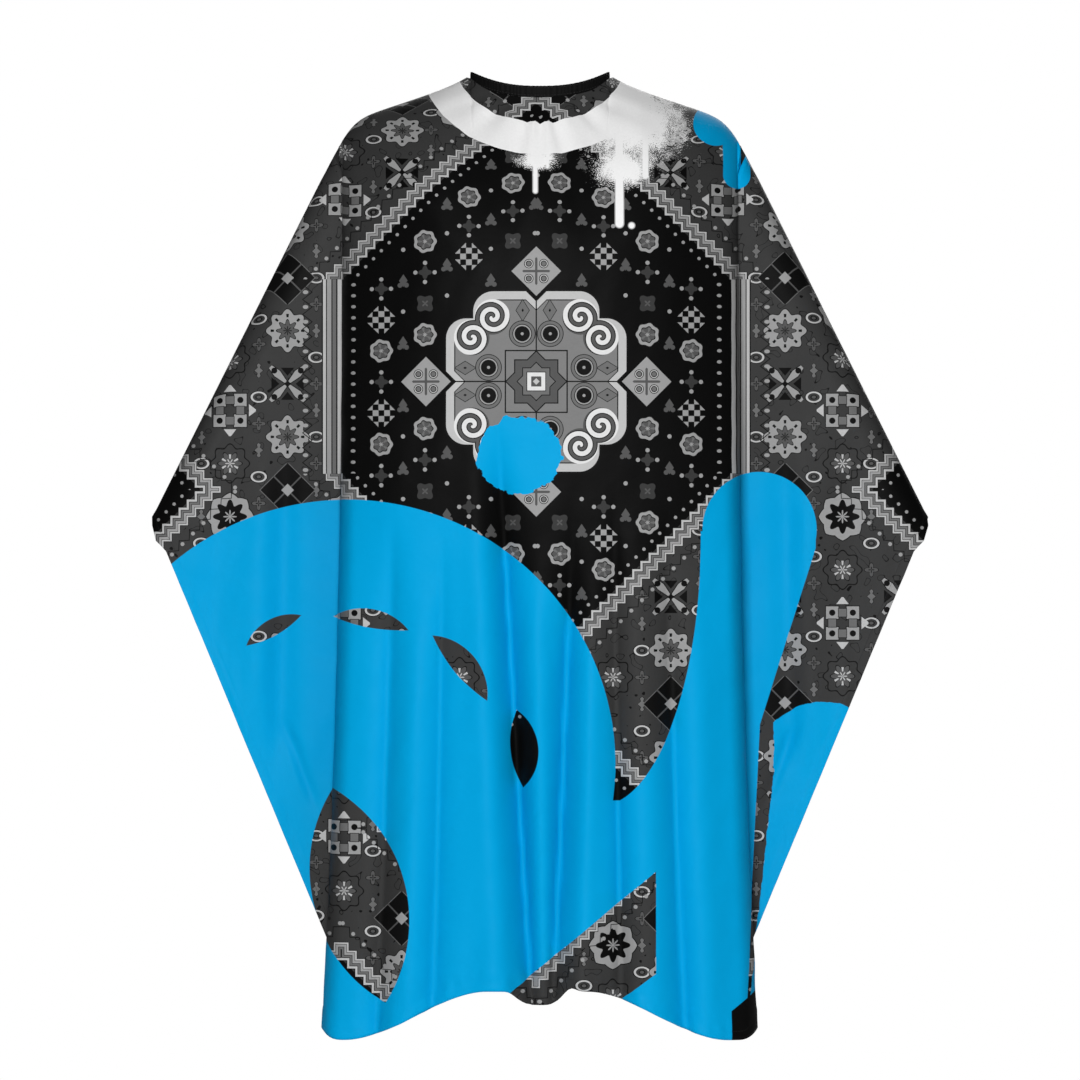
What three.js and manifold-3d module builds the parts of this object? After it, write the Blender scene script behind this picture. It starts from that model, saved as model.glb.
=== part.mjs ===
// Barber cape: a polyester cape cut with a shorter back, draped over a wearer's shoulders and arms,
// with a bound neckband that closes at the nape with a row of press studs.
// Millimetres, +Z up, the front faces -Y, and the origin is the middle of the neck opening.
// The cloth is one piece on the real cape. Here it is divided into seven closed panels.
import * as THREE from 'three';
import { mergeVertices } from 'three/addons/utils/BufferGeometryUtils.js';
import ManifoldModule from 'manifold-3d';

// ---- driving dimensions ----
const GAP = 0.3;                    // running gap between pieces that touch
const CLOTH = 2.0;                  // thickness given to the cloth panels

const NECK_HALF_WIDTH = 74;         // neck opening, side to side, at the band's middle line
const NECK_HALF_DEPTH = 62;         // neck opening, front to back
const BAND_HEIGHT = 12;
const BAND_THICKNESS = 2.2;
const BAND_FRONT_TOP = -3;          // top edge of the band at the front and at the nape
const BAND_SIDE_RISE = 17;          // how far the band climbs at the sides of the neck
const FRONT_RISE_POWER = 2.4;       // how gradually it climbs from the front
const NAPE_RISE_POWER = 5;          // and from the nape, where the closure lies nearly level

const SHOULDER_SLOPE = 0.32;        // fall of the shoulder line per unit of width
const ARM_SLOPE = 2.0;              // fall of the arm line per unit of width
const SHOULDER_X = 204;             // half width where the shoulder turns into the arm
const SHOULDER_SOFTNESS = 8;        // how gently it turns
const CORNER_X = 419;               // outermost point of the cape
const CORNER_DROP = 31;             // height of the rounded corner under the arm line
const CORNER_IN = 14;               // and its width
const WING_HEM_SLOPE = 2.405;       // fall of the front hem from the corner inwards

const PANEL_HALF_WIDTH = 213;       // front panel at the chest, out to its standing fold
const PANEL_FLARE = 21;             // extra half width of the front panel at its hem
const PANEL_LENGTH = 1010;          // depth at which that flare is reached
const PANEL_DEPTH = 150;            // how far forward of the shoulders the front hangs
const PANEL_EDGE_LOSS = 48;         // less depth at its sides than in its middle
const PANEL_ROLL = 28;              // radius of the fold that ends the front panel
const CHEST_FALL = 250;             // distance over which the chest reaches full depth
const FLARE_START = 150;            // depth below which the front panel widens
const FLARE_POWER = 2.2;            // how late it widens
const FALL_CURVE = 2.4;             // how early the chest and the back reach full depth
const SHOULDER_POWER = 0.6;         // roundness over the shoulders, 1 is a plain slope
const NECK_SLOPE_X = 50;            // half width where the plain slope under the neck starts to round
const SHOULDER_ROUND_X = 110;       // half width where the shoulder is fully round
const NECK_REACH = 35;              // distance over which the neckline draws the cloth in
const FRONT_HEM_MID = -973;         // front hem in its middle
const FRONT_HEM_SIDE = -1027;       // front hem at the panel's corners
const HEM_ARCH_START = 50;          // half width where the front hem starts to drop
const HEM_ARCH_END = 190;           // half width where it is lowest

const WING_DEPTH = 34;              // half the distance between a wing's front and back cloth
const WING_NOSE = 32;               // distance from the arm line where that is reached
const WING_CURVE = 2;               // with the power of a half, a circular nose
const WING_POWER = 0.5;
const BACK_DEPTH = 112;             // how far behind the shoulders the back hangs
const BACK_FALL = 190;              // distance over which the back reaches full depth
const BACK_SIDE_X = 200;            // half width where the back meets the wings
const BACK_SIDE_BLEND = 50;         // width on each side of that over which it draws in
const BACK_HEM_MID = -760;          // back hem at the centre
const BACK_HEM_POWER = 0.9;         // fullness of the back hem's curve
const SLIT_UNDERLAP = 1;            // left back edge, past the centre
const SLIT_OVERLAP = 14;            // right back edge, past the centre and outside the left
const SLIT_LIFT = 1.7 * (CLOTH + GAP);  // how far behind the left edge the right edge lies
const SLIT_LIFT_START = 12;         // half width where the right back starts to lift
const SLIT_LIFT_END = 45;
const SEAM_GAP = 0.5;               // gap between panels at a fold, more at its shoulder end
const SEAM_SHOULDER_GAP = 2.0;
const SEAM_SHOULDER_Z = -70;        // seams are widest above this height
const SEAM_PLAIN_Z = -170;          // and plain below this one

const TAB_LENGTH = 50;              // closure tab, from its hinge line to its tip
const TAB_BASE_LENGTH = 19;         // part of the tab before its bending line
const TAB_HEIGHT = 13;
const TAB_THICKNESS = 2.0;
const TAB_START_X = 8;              // the tab is sewn on here, right of the centre
const TAB_STEP_LENGTH = 11;         // length over which the tab steps out over the studs

const STUD_COUNT = 5;
const STUD_FIRST = 8;               // first stud, left of the centre
const STUD_PITCH = 12;
const CLOSED_ON = [1, 2];           // studs that the tab's two sockets hold
const STUD_BASE_R = 4.2;
const STUD_BASE_H = 0.8;
const STUD_NECK_R = 1.5;
const STUD_HEAD_R = 1.95;
const STUD_H = 2.6;
const POST_R = 4.4;
const POST_H = 0.9;
const PIN_R = 0.9;
const PIN_HOLE_R = 1.2;
const SOCKET_R = 4.3;
const SOCKET_H = 2.0;
const SOCKET_BORE_R = 2.5;
const SOCKET_WEB = 0.35;
const CAP_R = 4.8;
const CAP_H = 1.3;
const LATHE_STEPS = 16;

// ---- manifold-3d, for the cut holes ----
const wasm = await ManifoldModule();
wasm.setup();

function toManifold(geometry) {
  const bare = geometry.clone();
  bare.deleteAttribute('normal');
  bare.deleteAttribute('uv');
  const merged = mergeVertices(bare, 1e-5);
  const mesh = new wasm.Mesh({
    numProp: 3,
    vertProperties: new Float32Array(merged.attributes.position.array),
    triVerts: new Uint32Array(merged.index.array),
  });
  return new wasm.Manifold(mesh);
}

function fromManifold(solid) {
  const mesh = solid.getMesh();
  const geometry = new THREE.BufferGeometry();
  geometry.setAttribute('position', new THREE.BufferAttribute(mesh.vertProperties, 3));
  geometry.setIndex(new THREE.BufferAttribute(mesh.triVerts, 1));
  geometry.computeVertexNormals();
  return geometry;
}

// ---- materials ----
function material(color, roughness, metalness = 0) {
  return new THREE.MeshStandardMaterial({ color, roughness, metalness });
}

const clothMaterial = () => material(0x343538, 0.55);
const bandMaterial = () => material(0x0c0c0d, 0.7);
const snapMaterial = () => material(0x17181a, 0.3);

const cape = new THREE.Group();

function addMesh(name, geometry, meshMaterial) {
  const mesh = new THREE.Mesh(geometry, meshMaterial);
  mesh.name = name;
  cape.add(mesh);
  return mesh;
}

// ---- small helpers ----
function smoothstep(value, low, high) {
  const t = Math.min(1, Math.max(0, (value - low) / (high - low)));
  return t * t * (3 - 2 * t);
}

function mix(a, b, share) {
  return a + (b - a) * share;
}

function steps(low, high, count, power = 1) {
  const list = [];
  for (let i = 0; i <= count; i += 1) list.push(low + (high - low) * (i / count) ** power);
  return list;
}

// Rises from 0 at the start to 1 at full fall. Power 0.5 gives a round nose, 1 a slope.
function fall(distance, length, curve, power) {
  const rest = Math.max(0, 1 - distance / length);
  return (1 - rest ** curve) ** power;
}

// ---- the cape's lines, seen from the front ----
// Height of the shoulder and arm line over half width x.
function ridgeZ(x) {
  const past = SHOULDER_SOFTNESS * Math.log1p(Math.exp((x - SHOULDER_X) / SHOULDER_SOFTNESS));
  const start = bandBottom(Math.PI / 2, FRONT_RISE_POWER) + 2;
  return start - SHOULDER_SLOPE * (x - NECK_HALF_WIDTH) - (ARM_SLOPE - SHOULDER_SLOPE) * past;
}

// The band's bottom edge at an angle round the neck, 0 at the front or the nape.
function bandBottom(angle, power) {
  return BAND_FRONT_TOP - BAND_HEIGHT + BAND_SIDE_RISE * Math.abs(Math.sin(angle)) ** power;
}

const CORNER_TOP = ridgeZ(CORNER_X);
const CORNER_BOTTOM = CORNER_TOP - CORNER_DROP;

const ridgeLine = steps(0, CORNER_X, 90).map((x) => new THREE.Vector2(x, ridgeZ(x)));

function ridgeDistance(x, z) {
  let nearest = Infinity;
  const point = new THREE.Vector2(x, z);
  const along = new THREE.Vector2();
  for (let i = 1; i < ridgeLine.length; i += 1) {
    const from = ridgeLine[i - 1];
    along.subVectors(ridgeLine[i], from);
    const t = Math.min(1, Math.max(0, point.clone().sub(from).dot(along) / along.lengthSq()));
    nearest = Math.min(nearest, from.clone().addScaledVector(along, t).distanceTo(point));
  }
  return nearest;
}

// Half width of the cape's outline at height z, on the arm line, round the corner and below it.
function armX(z) {
  let low = NECK_HALF_WIDTH;
  let high = CORNER_X;
  for (let i = 0; i < 40; i += 1) {
    const middle = (low + high) / 2;
    if (ridgeZ(middle) > z) low = middle;
    else high = middle;
  }
  return low;
}

function cornerX(z) {
  const down = (CORNER_TOP - z) / CORNER_DROP;
  return CORNER_X - CORNER_IN + CORNER_IN * Math.sqrt(Math.max(0, 1 - down * down));
}

function frontOutlineX(z) {
  if (z > CORNER_TOP) return armX(z);
  if (z > CORNER_BOTTOM) return cornerX(z);
  return CORNER_X - CORNER_IN - (CORNER_BOTTOM - z) / WING_HEM_SLOPE;
}

function backHemZ(x) {
  const share = Math.min(1, Math.abs(x) / (CORNER_X - CORNER_IN));
  return CORNER_BOTTOM + (BACK_HEM_MID - CORNER_BOTTOM) * (1 - share * share) ** BACK_HEM_POWER;
}

function backOutlineX(z) {
  if (z > CORNER_TOP) return armX(z);
  if (z > CORNER_BOTTOM) return cornerX(z);
  const share = (z - CORNER_BOTTOM) / (BACK_HEM_MID - CORNER_BOTTOM);
  return (CORNER_X - CORNER_IN) * Math.sqrt(Math.max(0, 1 - share ** (1 / BACK_HEM_POWER)));
}

// The front panel's standing fold, a little wider towards the hem.
function foldX(z) {
  const down = Math.max(0, (-z - FLARE_START) / (PANEL_LENGTH - FLARE_START));
  return PANEL_HALF_WIDTH + PANEL_FLARE * down ** FLARE_POWER;
}

function frontHemZ(u) {
  return mix(FRONT_HEM_MID, FRONT_HEM_SIDE, smoothstep(Math.abs(u), HEM_ARCH_START, HEM_ARCH_END));
}

// ---- how deep the cloth hangs in front of the shoulders and behind them ----
function neckY(x) {
  const share = Math.min(1, Math.abs(x) / NECK_HALF_WIDTH);
  return NECK_HALF_DEPTH * Math.sqrt(1 - share * share);
}

// The angle round the neck of the cloth's top edge, which lies under the band's outer face.
function neckAngle(x) {
  const outer = neckY(x) + BAND_THICKNESS / 2;
  return Math.atan2(Math.abs(x) / NECK_HALF_WIDTH, outer / NECK_HALF_DEPTH);
}

function shoulderPower(u) {
  return mix(1, SHOULDER_POWER, smoothstep(Math.abs(u), NECK_SLOPE_X, SHOULDER_ROUND_X));
}

// Depth in front of the shoulder line, before the neckline draws it in.
function chestDepth(u, z) {
  const side = Math.abs(u) / PANEL_HALF_WIDTH;
  const past = Math.max(0, Math.abs(u) - (PANEL_HALF_WIDTH - PANEL_ROLL)) / PANEL_ROLL;
  const roll = PANEL_ROLL * (1 - Math.sqrt(Math.max(0, 1 - past * past)));
  const depth = PANEL_DEPTH - PANEL_EDGE_LOSS * side ** 3 - roll;
  return depth * fall(ridgeDistance(Math.abs(u), z), CHEST_FALL, FALL_CURVE, shoulderPower(u));
}

function backDepth(u, z) {
  const wing = smoothstep(Math.abs(u), BACK_SIDE_X - BACK_SIDE_BLEND, BACK_SIDE_X + BACK_SIDE_BLEND);
  const power = mix(shoulderPower(u), WING_POWER, wing);
  const length = mix(BACK_FALL, WING_NOSE, wing);
  const depth = mix(BACK_DEPTH, WING_DEPTH, wing);
  const curve = mix(FALL_CURVE, WING_CURVE, wing);
  return depth * fall(ridgeDistance(Math.abs(u), z), length, curve, power);
}

function wingDepth(x, z) {
  return WING_DEPTH * fall(ridgeDistance(x, z), WING_NOSE, WING_CURVE, WING_POWER);
}

// Draws the cloth in to the neckline, which it leaves under the band.
function neckDraw(depth, u, z, topZ) {
  if (Math.abs(u) > NECK_HALF_WIDTH) return 0;
  const wanted = neckY(u) + BAND_THICKNESS / 2;
  return (wanted - depth(u, topZ)) * Math.exp((z - topZ) / NECK_REACH);
}

function neckTopZ(u, power) {
  if (Math.abs(u) > NECK_HALF_WIDTH) return ridgeZ(Math.abs(u));
  return bandBottom(neckAngle(u), power) - GAP - 0.1;
}

// ---- closed panels from a grid of points on the cloth's outer face ----
function panelSolid(grid, outward) {
  const rows = grid.length;
  const columns = grid[0].length;
  const inner = grid.map((line, i) => line.map((point, j) => {
    const down = grid[Math.min(i + 1, rows - 1)][j].clone().sub(grid[Math.max(i - 1, 0)][j]);
    const across = line[Math.min(j + 1, columns - 1)].clone().sub(line[Math.max(j - 1, 0)]);
    const normal = down.cross(across);
    // On the shoulder line the cloth lies level from front to back.
    if (Math.abs(point.y) < 2 * GAP) normal.y = 0;
    normal.normalize();
    return point.clone().addScaledVector(normal, -outward * CLOTH);
  }));
  const positions = [];
  for (const point of [...grid.flat(), ...inner.flat()]) positions.push(point.x, point.y, point.z);
  const index = [];
  const layer = rows * columns;
  const at = (i, j, side) => side * layer + i * columns + j;
  const quad = (a, b, c, d) => {
    if (outward > 0) index.push(a, b, c, a, c, d);
    else index.push(a, c, b, a, d, c);
  };
  for (let i = 0; i + 1 < rows; i += 1) {
    for (let j = 0; j + 1 < columns; j += 1) {
      quad(at(i, j, 0), at(i + 1, j, 0), at(i + 1, j + 1, 0), at(i, j + 1, 0));
      quad(at(i, j, 1), at(i, j + 1, 1), at(i + 1, j + 1, 1), at(i + 1, j, 1));
    }
  }
  const last = { i: rows - 1, j: columns - 1 };
  for (let i = 0; i < last.i; i += 1) {
    quad(at(i, 0, 0), at(i, 0, 1), at(i + 1, 0, 1), at(i + 1, 0, 0));
    quad(at(i, last.j, 0), at(i + 1, last.j, 0), at(i + 1, last.j, 1), at(i, last.j, 1));
  }
  for (let j = 0; j < last.j; j += 1) {
    quad(at(0, j, 0), at(0, j + 1, 0), at(0, j + 1, 1), at(0, j, 1));
    quad(at(last.i, j, 0), at(last.i, j, 1), at(last.i, j + 1, 1), at(last.i, j + 1, 0));
  }
  const geometry = new THREE.BufferGeometry();
  geometry.setAttribute('position', new THREE.Float32BufferAttribute(positions, 3));
  geometry.setIndex(index);
  geometry.computeVertexNormals();
  return geometry;
}

// Columns that crowd towards the sides of the neck, where the neckline turns back.
function neckColumns(low, high, count) {
  const from = Math.asin(low / NECK_HALF_WIDTH);
  const to = Math.asin(high / NECK_HALF_WIDTH);
  return steps(from, to, count).map((angle) => NECK_HALF_WIDTH * Math.sin(angle));
}

// ---- the cloth panels ----
function frontPoint(u, down) {
  const top = neckTopZ(u, FRONT_RISE_POWER);
  const z = mix(top, frontHemZ(u), down);
  const depth = chestDepth(u, z) + neckDraw(chestDepth, u, z, top);
  return new THREE.Vector3(u * foldX(z) / PANEL_HALF_WIDTH, -GAP - depth, z);
}

// The cloth that returns behind the standing fold, back to the wing.
function returnPoint(side, share, down) {
  const edge = frontPoint(side * PANEL_HALF_WIDTH, down);
  const behind = -GAP - wingDepth(Math.abs(edge.x), edge.z) + CLOTH;
  const end = Math.max(edge.y + GAP, Math.min(behind, -GAP));
  return new THREE.Vector3(edge.x, mix(edge.y, end, share), edge.z);
}

function buildFrontPanel() {
  const shoulder = steps(NECK_HALF_WIDTH + 5, PANEL_HALF_WIDTH - PANEL_ROLL, 6);
  const roll = steps(0, Math.PI / 2, 5).slice(1).map((angle) => (
    PANEL_HALF_WIDTH - PANEL_ROLL + PANEL_ROLL * Math.sin(angle)
  ));
  const side = [...shoulder, ...roll];
  const columns = [
    ...side.map((u) => -u).reverse(),
    ...neckColumns(-NECK_HALF_WIDTH, NECK_HALF_WIDTH, 18),
    ...side,
  ];
  const grid = steps(0, 1, 16, 1.7).map((down) => [
    returnPoint(-1, 1, down),
    ...columns.map((u) => frontPoint(u, down)),
    returnPoint(1, 1, down),
  ]);
  addMesh('cape_front', panelSolid(grid, 1), clothMaterial());
}

function wingGrid(side, face, innerX, outlineX, topZ, bottomZ) {
  return steps(topZ, bottomZ, 18).map((z) => steps(0, 1, 9).map((share) => {
    const outer = outlineX(z);
    const x = mix(innerX(z), outer, 1 - (1 - share) ** 2);
    const depth = face < 0 ? wingDepth(x, z) : backDepth(x, z);
    return new THREE.Vector3(side * x, face * (GAP + depth), z);
  }));
}

function seamGap(z) {
  return SEAM_GAP + SEAM_SHOULDER_GAP * smoothstep(z, SEAM_PLAIN_Z, SEAM_SHOULDER_Z);
}

function buildWing(side, name) {
  const frontInner = (z) => foldX(z) + seamGap(z);
  const frontTop = ridgeZ(PANEL_HALF_WIDTH + 3);
  const frontBottom = CORNER_BOTTOM - WING_HEM_SLOPE * (CORNER_X - CORNER_IN - foldX(-900) - 5);
  const front = wingGrid(side, -1, frontInner, frontOutlineX, frontTop, frontBottom);
  addMesh(`cape_${name}_wing_front`, panelSolid(front, side), clothMaterial());
  const backInner = (z) => BACK_SIDE_X + seamGap(z);
  const backTop = ridgeZ(BACK_SIDE_X + 4);
  const backBottom = backHemZ(BACK_SIDE_X + 5);
  const back = wingGrid(side, 1, backInner, backOutlineX, backTop, backBottom);
  addMesh(`cape_${name}_wing_back`, panelSolid(back, -side), clothMaterial());
}

// lift moves the right back edge outside the left one where they overlap.
function backPoint(u, down, overlaps) {
  const lift = overlaps ? SLIT_LIFT * (1 - smoothstep(u, SLIT_LIFT_START, SLIT_LIFT_END)) : 0;
  const lower = overlaps ? TAB_HEIGHT / 8 * (1 - smoothstep(u, TAB_START_X, TAB_START_X + 6)) : 0;
  const top = neckTopZ(u, NAPE_RISE_POWER);
  const z = mix(top - lower, backHemZ(u), down);
  const depth = backDepth(u, z) + neckDraw(backDepth, u, z, top);
  return new THREE.Vector3(u, GAP + depth + lift, z);
}

function buildBackPanel(side, name) {
  const overlaps = side > 0;
  const slit = overlaps ? SLIT_OVERLAP : SLIT_UNDERLAP;
  const columns = [
    ...neckColumns(-slit, NECK_HALF_WIDTH, 14),
    ...steps(NECK_HALF_WIDTH + 5, BACK_SIDE_X, 7),
  ];
  const grid = steps(0, 1, 15, 1.6).map((down) => (
    columns.map((u) => {
      const point = backPoint(u, down, overlaps);
      point.x *= side;
      return point;
    })
  ));
  addMesh(`cape_back_${name}`, panelSolid(grid, -side), clothMaterial());
}

// ---- the neckband, a strip round the neck that is open at the nape ----
// A point outside or inside the band's middle line, by its half width x behind the neck.
function napeFrame(x) {
  const angle = Math.asin(x / NECK_HALF_WIDTH);
  const normal = new THREE.Vector2(
    Math.sin(angle) / NECK_HALF_WIDTH,
    Math.cos(angle) / NECK_HALF_DEPTH,
  ).normalize();
  const middle = new THREE.Vector2(
    NECK_HALF_WIDTH * Math.sin(angle),
    NECK_HALF_DEPTH * Math.cos(angle),
  );
  const z = bandBottom(angle, NAPE_RISE_POWER) + BAND_HEIGHT / 2;
  return { middle, normal, z, turn: -Math.atan2(normal.x, normal.y) };
}

function bandGeometry() {
  const endAngle = Math.asin((SLIT_UNDERLAP + 1) / NECK_HALF_WIDTH);
  const positions = [];
  const index = [];
  const count = 72;
  for (let i = 0; i <= count; i += 1) {
    const angle = mix(-Math.PI + endAngle, Math.PI - endAngle, i / count);
    const behind = Math.abs(angle) > Math.PI / 2;
    const low = bandBottom(angle, behind ? NAPE_RISE_POWER : FRONT_RISE_POWER);
    const normal = new THREE.Vector2(
      Math.sin(angle) / NECK_HALF_WIDTH,
      -Math.cos(angle) / NECK_HALF_DEPTH,
    ).normalize();
    for (const [across, z] of [[-1, low], [1, low], [1, low + BAND_HEIGHT], [-1, low + BAND_HEIGHT]]) {
      positions.push(
        NECK_HALF_WIDTH * Math.sin(angle) + normal.x * across * BAND_THICKNESS / 2,
        -NECK_HALF_DEPTH * Math.cos(angle) + normal.y * across * BAND_THICKNESS / 2,
        z,
      );
    }
  }
  for (let i = 0; i < count; i += 1) {
    for (let j = 0; j < 4; j += 1) {
      const a = 4 * i + j;
      const b = 4 * i + (j + 1) % 4;
      index.push(a, b + 4, b, a, a + 4, b + 4);
    }
  }
  const end = 4 * count;
  index.push(0, 1, 2, 0, 2, 3, end, end + 2, end + 1, end, end + 3, end + 2);
  const geometry = new THREE.BufferGeometry();
  geometry.setAttribute('position', new THREE.Float32BufferAttribute(positions, 3));
  geometry.setIndex(index);
  return geometry;
}

// Places something turned about the snap's own axis at a nape position, outset from the band's
// middle line. The lathe's +Y ends up pointing away from the neck.
function placeOnNape(object, x, outset) {
  const { middle, normal, z, turn } = napeFrame(x);
  object.position.set(middle.x + normal.x * outset, middle.y + normal.y * outset, z);
  object.rotation.set(0, 0, turn);
}

function placedGeometry(geometry, x, outset) {
  const holder = new THREE.Object3D();
  placeOnNape(holder, x, outset);
  holder.updateMatrixWorld();
  return geometry.clone().applyMatrix4(holder.matrixWorld);
}

function lathe(profile) {
  return new THREE.LatheGeometry(profile.map(([r, h]) => new THREE.Vector2(r, h)), LATHE_STEPS);
}

function holeCutter(thickness) {
  return new THREE.CylinderGeometry(PIN_HOLE_R, PIN_HOLE_R, thickness * 3, LATHE_STEPS);
}

const studXs = Array.from({ length: STUD_COUNT }, (_, i) => -STUD_FIRST - STUD_PITCH * i);

function buildBand() {
  let band = toManifold(bandGeometry());
  for (const x of studXs) {
    band = band.subtract(toManifold(placedGeometry(holeCutter(BAND_THICKNESS), x, 0)));
  }
  addMesh('neckband', fromManifold(band), bandMaterial());
}

// ---- snaps ----
const SEAT = BAND_THICKNESS / 2 + GAP;          // first level outside or inside the band
const CURVE_ROOM = 0.15;                        // extra under a flat disc on the curved inside
const SOCKET_LEVEL = SEAT + STUD_BASE_H + GAP;  // lower face of a socket on its stud
const TAB_LEVEL = SOCKET_LEVEL + SOCKET_H + GAP + TAB_THICKNESS / 2;

function studGeometry() {
  return lathe([
    [0, 0], [STUD_BASE_R, 0], [STUD_BASE_R, STUD_BASE_H * 0.7], [STUD_BASE_R - 0.3, STUD_BASE_H],
    [STUD_NECK_R, STUD_BASE_H], [STUD_NECK_R, STUD_BASE_H + 0.6], [STUD_HEAD_R, STUD_H - 0.8],
    [STUD_HEAD_R, STUD_H - 0.35], [STUD_NECK_R, STUD_H], [0, STUD_H],
  ]);
}

function postGeometry() {
  const pin = BAND_THICKNESS + GAP + CURVE_ROOM;
  return lathe([
    [0, -POST_H], [POST_R - 0.4, -POST_H], [POST_R, -POST_H + 0.35], [POST_R, 0],
    [PIN_R, 0], [PIN_R, pin], [0, pin],
  ]);
}

function socketGeometry() {
  const mouth = SOCKET_H - SOCKET_WEB;
  return lathe([
    [0, mouth], [SOCKET_BORE_R, mouth], [SOCKET_BORE_R, 0], [SOCKET_R - 0.3, 0],
    [SOCKET_R, 0.3], [SOCKET_R, SOCKET_H - 0.4], [SOCKET_R - 0.8, SOCKET_H], [0, SOCKET_H],
  ]);
}

function capGeometry() {
  const pin = TAB_THICKNESS + GAP;
  return lathe([
    [0, -pin], [PIN_R, -pin], [PIN_R, 0], [CAP_R, 0], [CAP_R, CAP_H * 0.45],
    [CAP_R - 0.5, CAP_H * 0.8], [CAP_R - 1.6, CAP_H], [0, CAP_H],
  ]);
}

function buildSnaps() {
  studXs.forEach((x, i) => {
    const stud = addMesh(`snap_stud_${i + 1}`, studGeometry(), snapMaterial());
    placeOnNape(stud, x, SEAT);
    const post = addMesh(`snap_post_${i + 1}`, postGeometry(), snapMaterial());
    placeOnNape(post, x, -SEAT - CURVE_ROOM);
  });
  CLOSED_ON.forEach((stud, i) => {
    const socket = addMesh(`snap_socket_${i + 1}`, socketGeometry(), snapMaterial());
    placeOnNape(socket, studXs[stud], SOCKET_LEVEL);
    const cap = addMesh(`snap_cap_${i + 1}`, capGeometry(), snapMaterial());
    placeOnNape(cap, studXs[stud], TAB_LEVEL + TAB_THICKNESS / 2 + GAP);
  });
}

// ---- the closure tab, in two lengths with a bending line between them ----
// Middle line of the tab at a half width x: against the band at its root, then out over the studs.
function tabPoint(x) {
  const { middle, normal } = napeFrame(x);
  const root = BAND_THICKNESS / 2 + GAP + TAB_THICKNESS / 2;
  const out = mix(TAB_LEVEL, root, smoothstep(x, TAB_START_X - TAB_STEP_LENGTH, TAB_START_X));
  return middle.clone().addScaledVector(normal, out);
}

// An upright strip along the tab's middle line. Its root end is round, about its hinge line.
function tabStrip(fromX, toX, count) {
  const half = TAB_THICKNESS / 2;
  const line = steps(fromX, toX, count).map(tabPoint);
  const outer = [];
  const innerSide = [];
  line.forEach((point, i) => {
    const along = line[Math.min(i + 1, count)].clone().sub(line[Math.max(i - 1, 0)]).normalize();
    const out = new THREE.Vector2(along.y, -along.x);
    outer.push(point.clone().addScaledVector(out, half));
    innerSide.push(point.clone().addScaledVector(out, -half));
  });
  const root = line[0];
  const across = outer[0].clone().sub(root);
  const nose = steps(0, Math.PI, 8).slice(1, -1).map((angle) => (
    root.clone().add(across.clone().rotateAround(new THREE.Vector2(), -angle))
  ));
  const outline = [...outer.reverse(), ...nose, ...innerSide];
  const strip = new THREE.ExtrudeGeometry(new THREE.Shape(outline), {
    depth: TAB_HEIGHT,
    bevelEnabled: false,
    steps: 1,
  });
  const middleZ = napeFrame(0).z;
  return strip.translate(0, 0, middleZ - TAB_HEIGHT / 2);
}

const TAB_BEND_X = TAB_START_X - TAB_BASE_LENGTH;
const TAB_TIP_X = TAB_START_X - TAB_LENGTH;

function buildTab() {
  const baseEnd = TAB_BEND_X + TAB_THICKNESS / 2 + GAP;
  addMesh('closure_tab_base', tabStrip(TAB_START_X, baseEnd, 10), bandMaterial());
  let tip = toManifold(tabStrip(TAB_BEND_X, TAB_TIP_X, 14));
  for (const stud of CLOSED_ON) {
    const cutter = holeCutter(TAB_THICKNESS);
    tip = tip.subtract(toManifold(placedGeometry(cutter, studXs[stud], TAB_LEVEL)));
  }
  addMesh('closure_tab_tip', fromManifold(tip), bandMaterial());
}

buildFrontPanel();
buildWing(-1, 'left');
buildWing(1, 'right');
buildBackPanel(-1, 'left');
buildBackPanel(1, 'right');
buildBand();
buildSnaps();
buildTab();

export default cape;
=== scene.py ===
"""The look of the barber cape: one printed cloth, its bound neckband, the closure tab and the snaps.

Metres in the CAD's frame: +Z up, the front faces -Y, the origin is the middle of the neck opening.
"""

import math

import bpy
import numpy as np
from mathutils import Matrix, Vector


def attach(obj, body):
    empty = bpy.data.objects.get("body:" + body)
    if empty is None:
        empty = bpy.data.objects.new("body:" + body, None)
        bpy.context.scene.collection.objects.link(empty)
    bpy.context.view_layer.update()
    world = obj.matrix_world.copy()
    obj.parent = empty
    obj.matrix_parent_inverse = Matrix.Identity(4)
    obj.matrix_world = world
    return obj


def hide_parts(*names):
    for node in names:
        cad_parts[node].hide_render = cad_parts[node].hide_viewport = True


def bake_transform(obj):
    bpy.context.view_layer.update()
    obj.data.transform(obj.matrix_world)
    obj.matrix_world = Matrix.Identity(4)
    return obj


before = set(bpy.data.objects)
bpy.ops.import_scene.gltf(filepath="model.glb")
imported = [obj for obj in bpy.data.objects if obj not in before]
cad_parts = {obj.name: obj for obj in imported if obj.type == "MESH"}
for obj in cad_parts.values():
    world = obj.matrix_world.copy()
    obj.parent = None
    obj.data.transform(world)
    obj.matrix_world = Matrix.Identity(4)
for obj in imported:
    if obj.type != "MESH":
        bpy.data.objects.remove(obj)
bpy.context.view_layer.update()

# ---- the cape's sizes, as in the CAD ----
NECK_X = 0.074  # neck opening, half its width at the band's middle line
NECK_Y = 0.062
BAND_H = 0.012
BAND_T = 0.0022
FRONT_RISE = 2.4
NAPE_RISE = 5
CORNER_X = 0.419
CORNER_IN = 0.014
CORNER_DROP = 0.031
HEM_SLOPE = 2.405
PANEL = 0.213  # half width of the front panel, out to its standing fold
ROLL = 0.016  # width of the roll that ends the front panel
ROLL_DEPTH = 0.034
WING_DEPTH = 0.034
TAB_START = 0.008
TAB_TIP = -0.042
TAB_HEIGHT = 0.013
TAB_THICKNESS = 0.002
STUDS = [-0.008 - 0.012 * i for i in range(5)]
CLOSED_ON = (1, 2)
STUD_SEAT = 0.0014
POST_SEAT = -0.00155
SOCKET_SEAT = 0.0025
TAB_LEVEL = 0.0058
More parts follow.
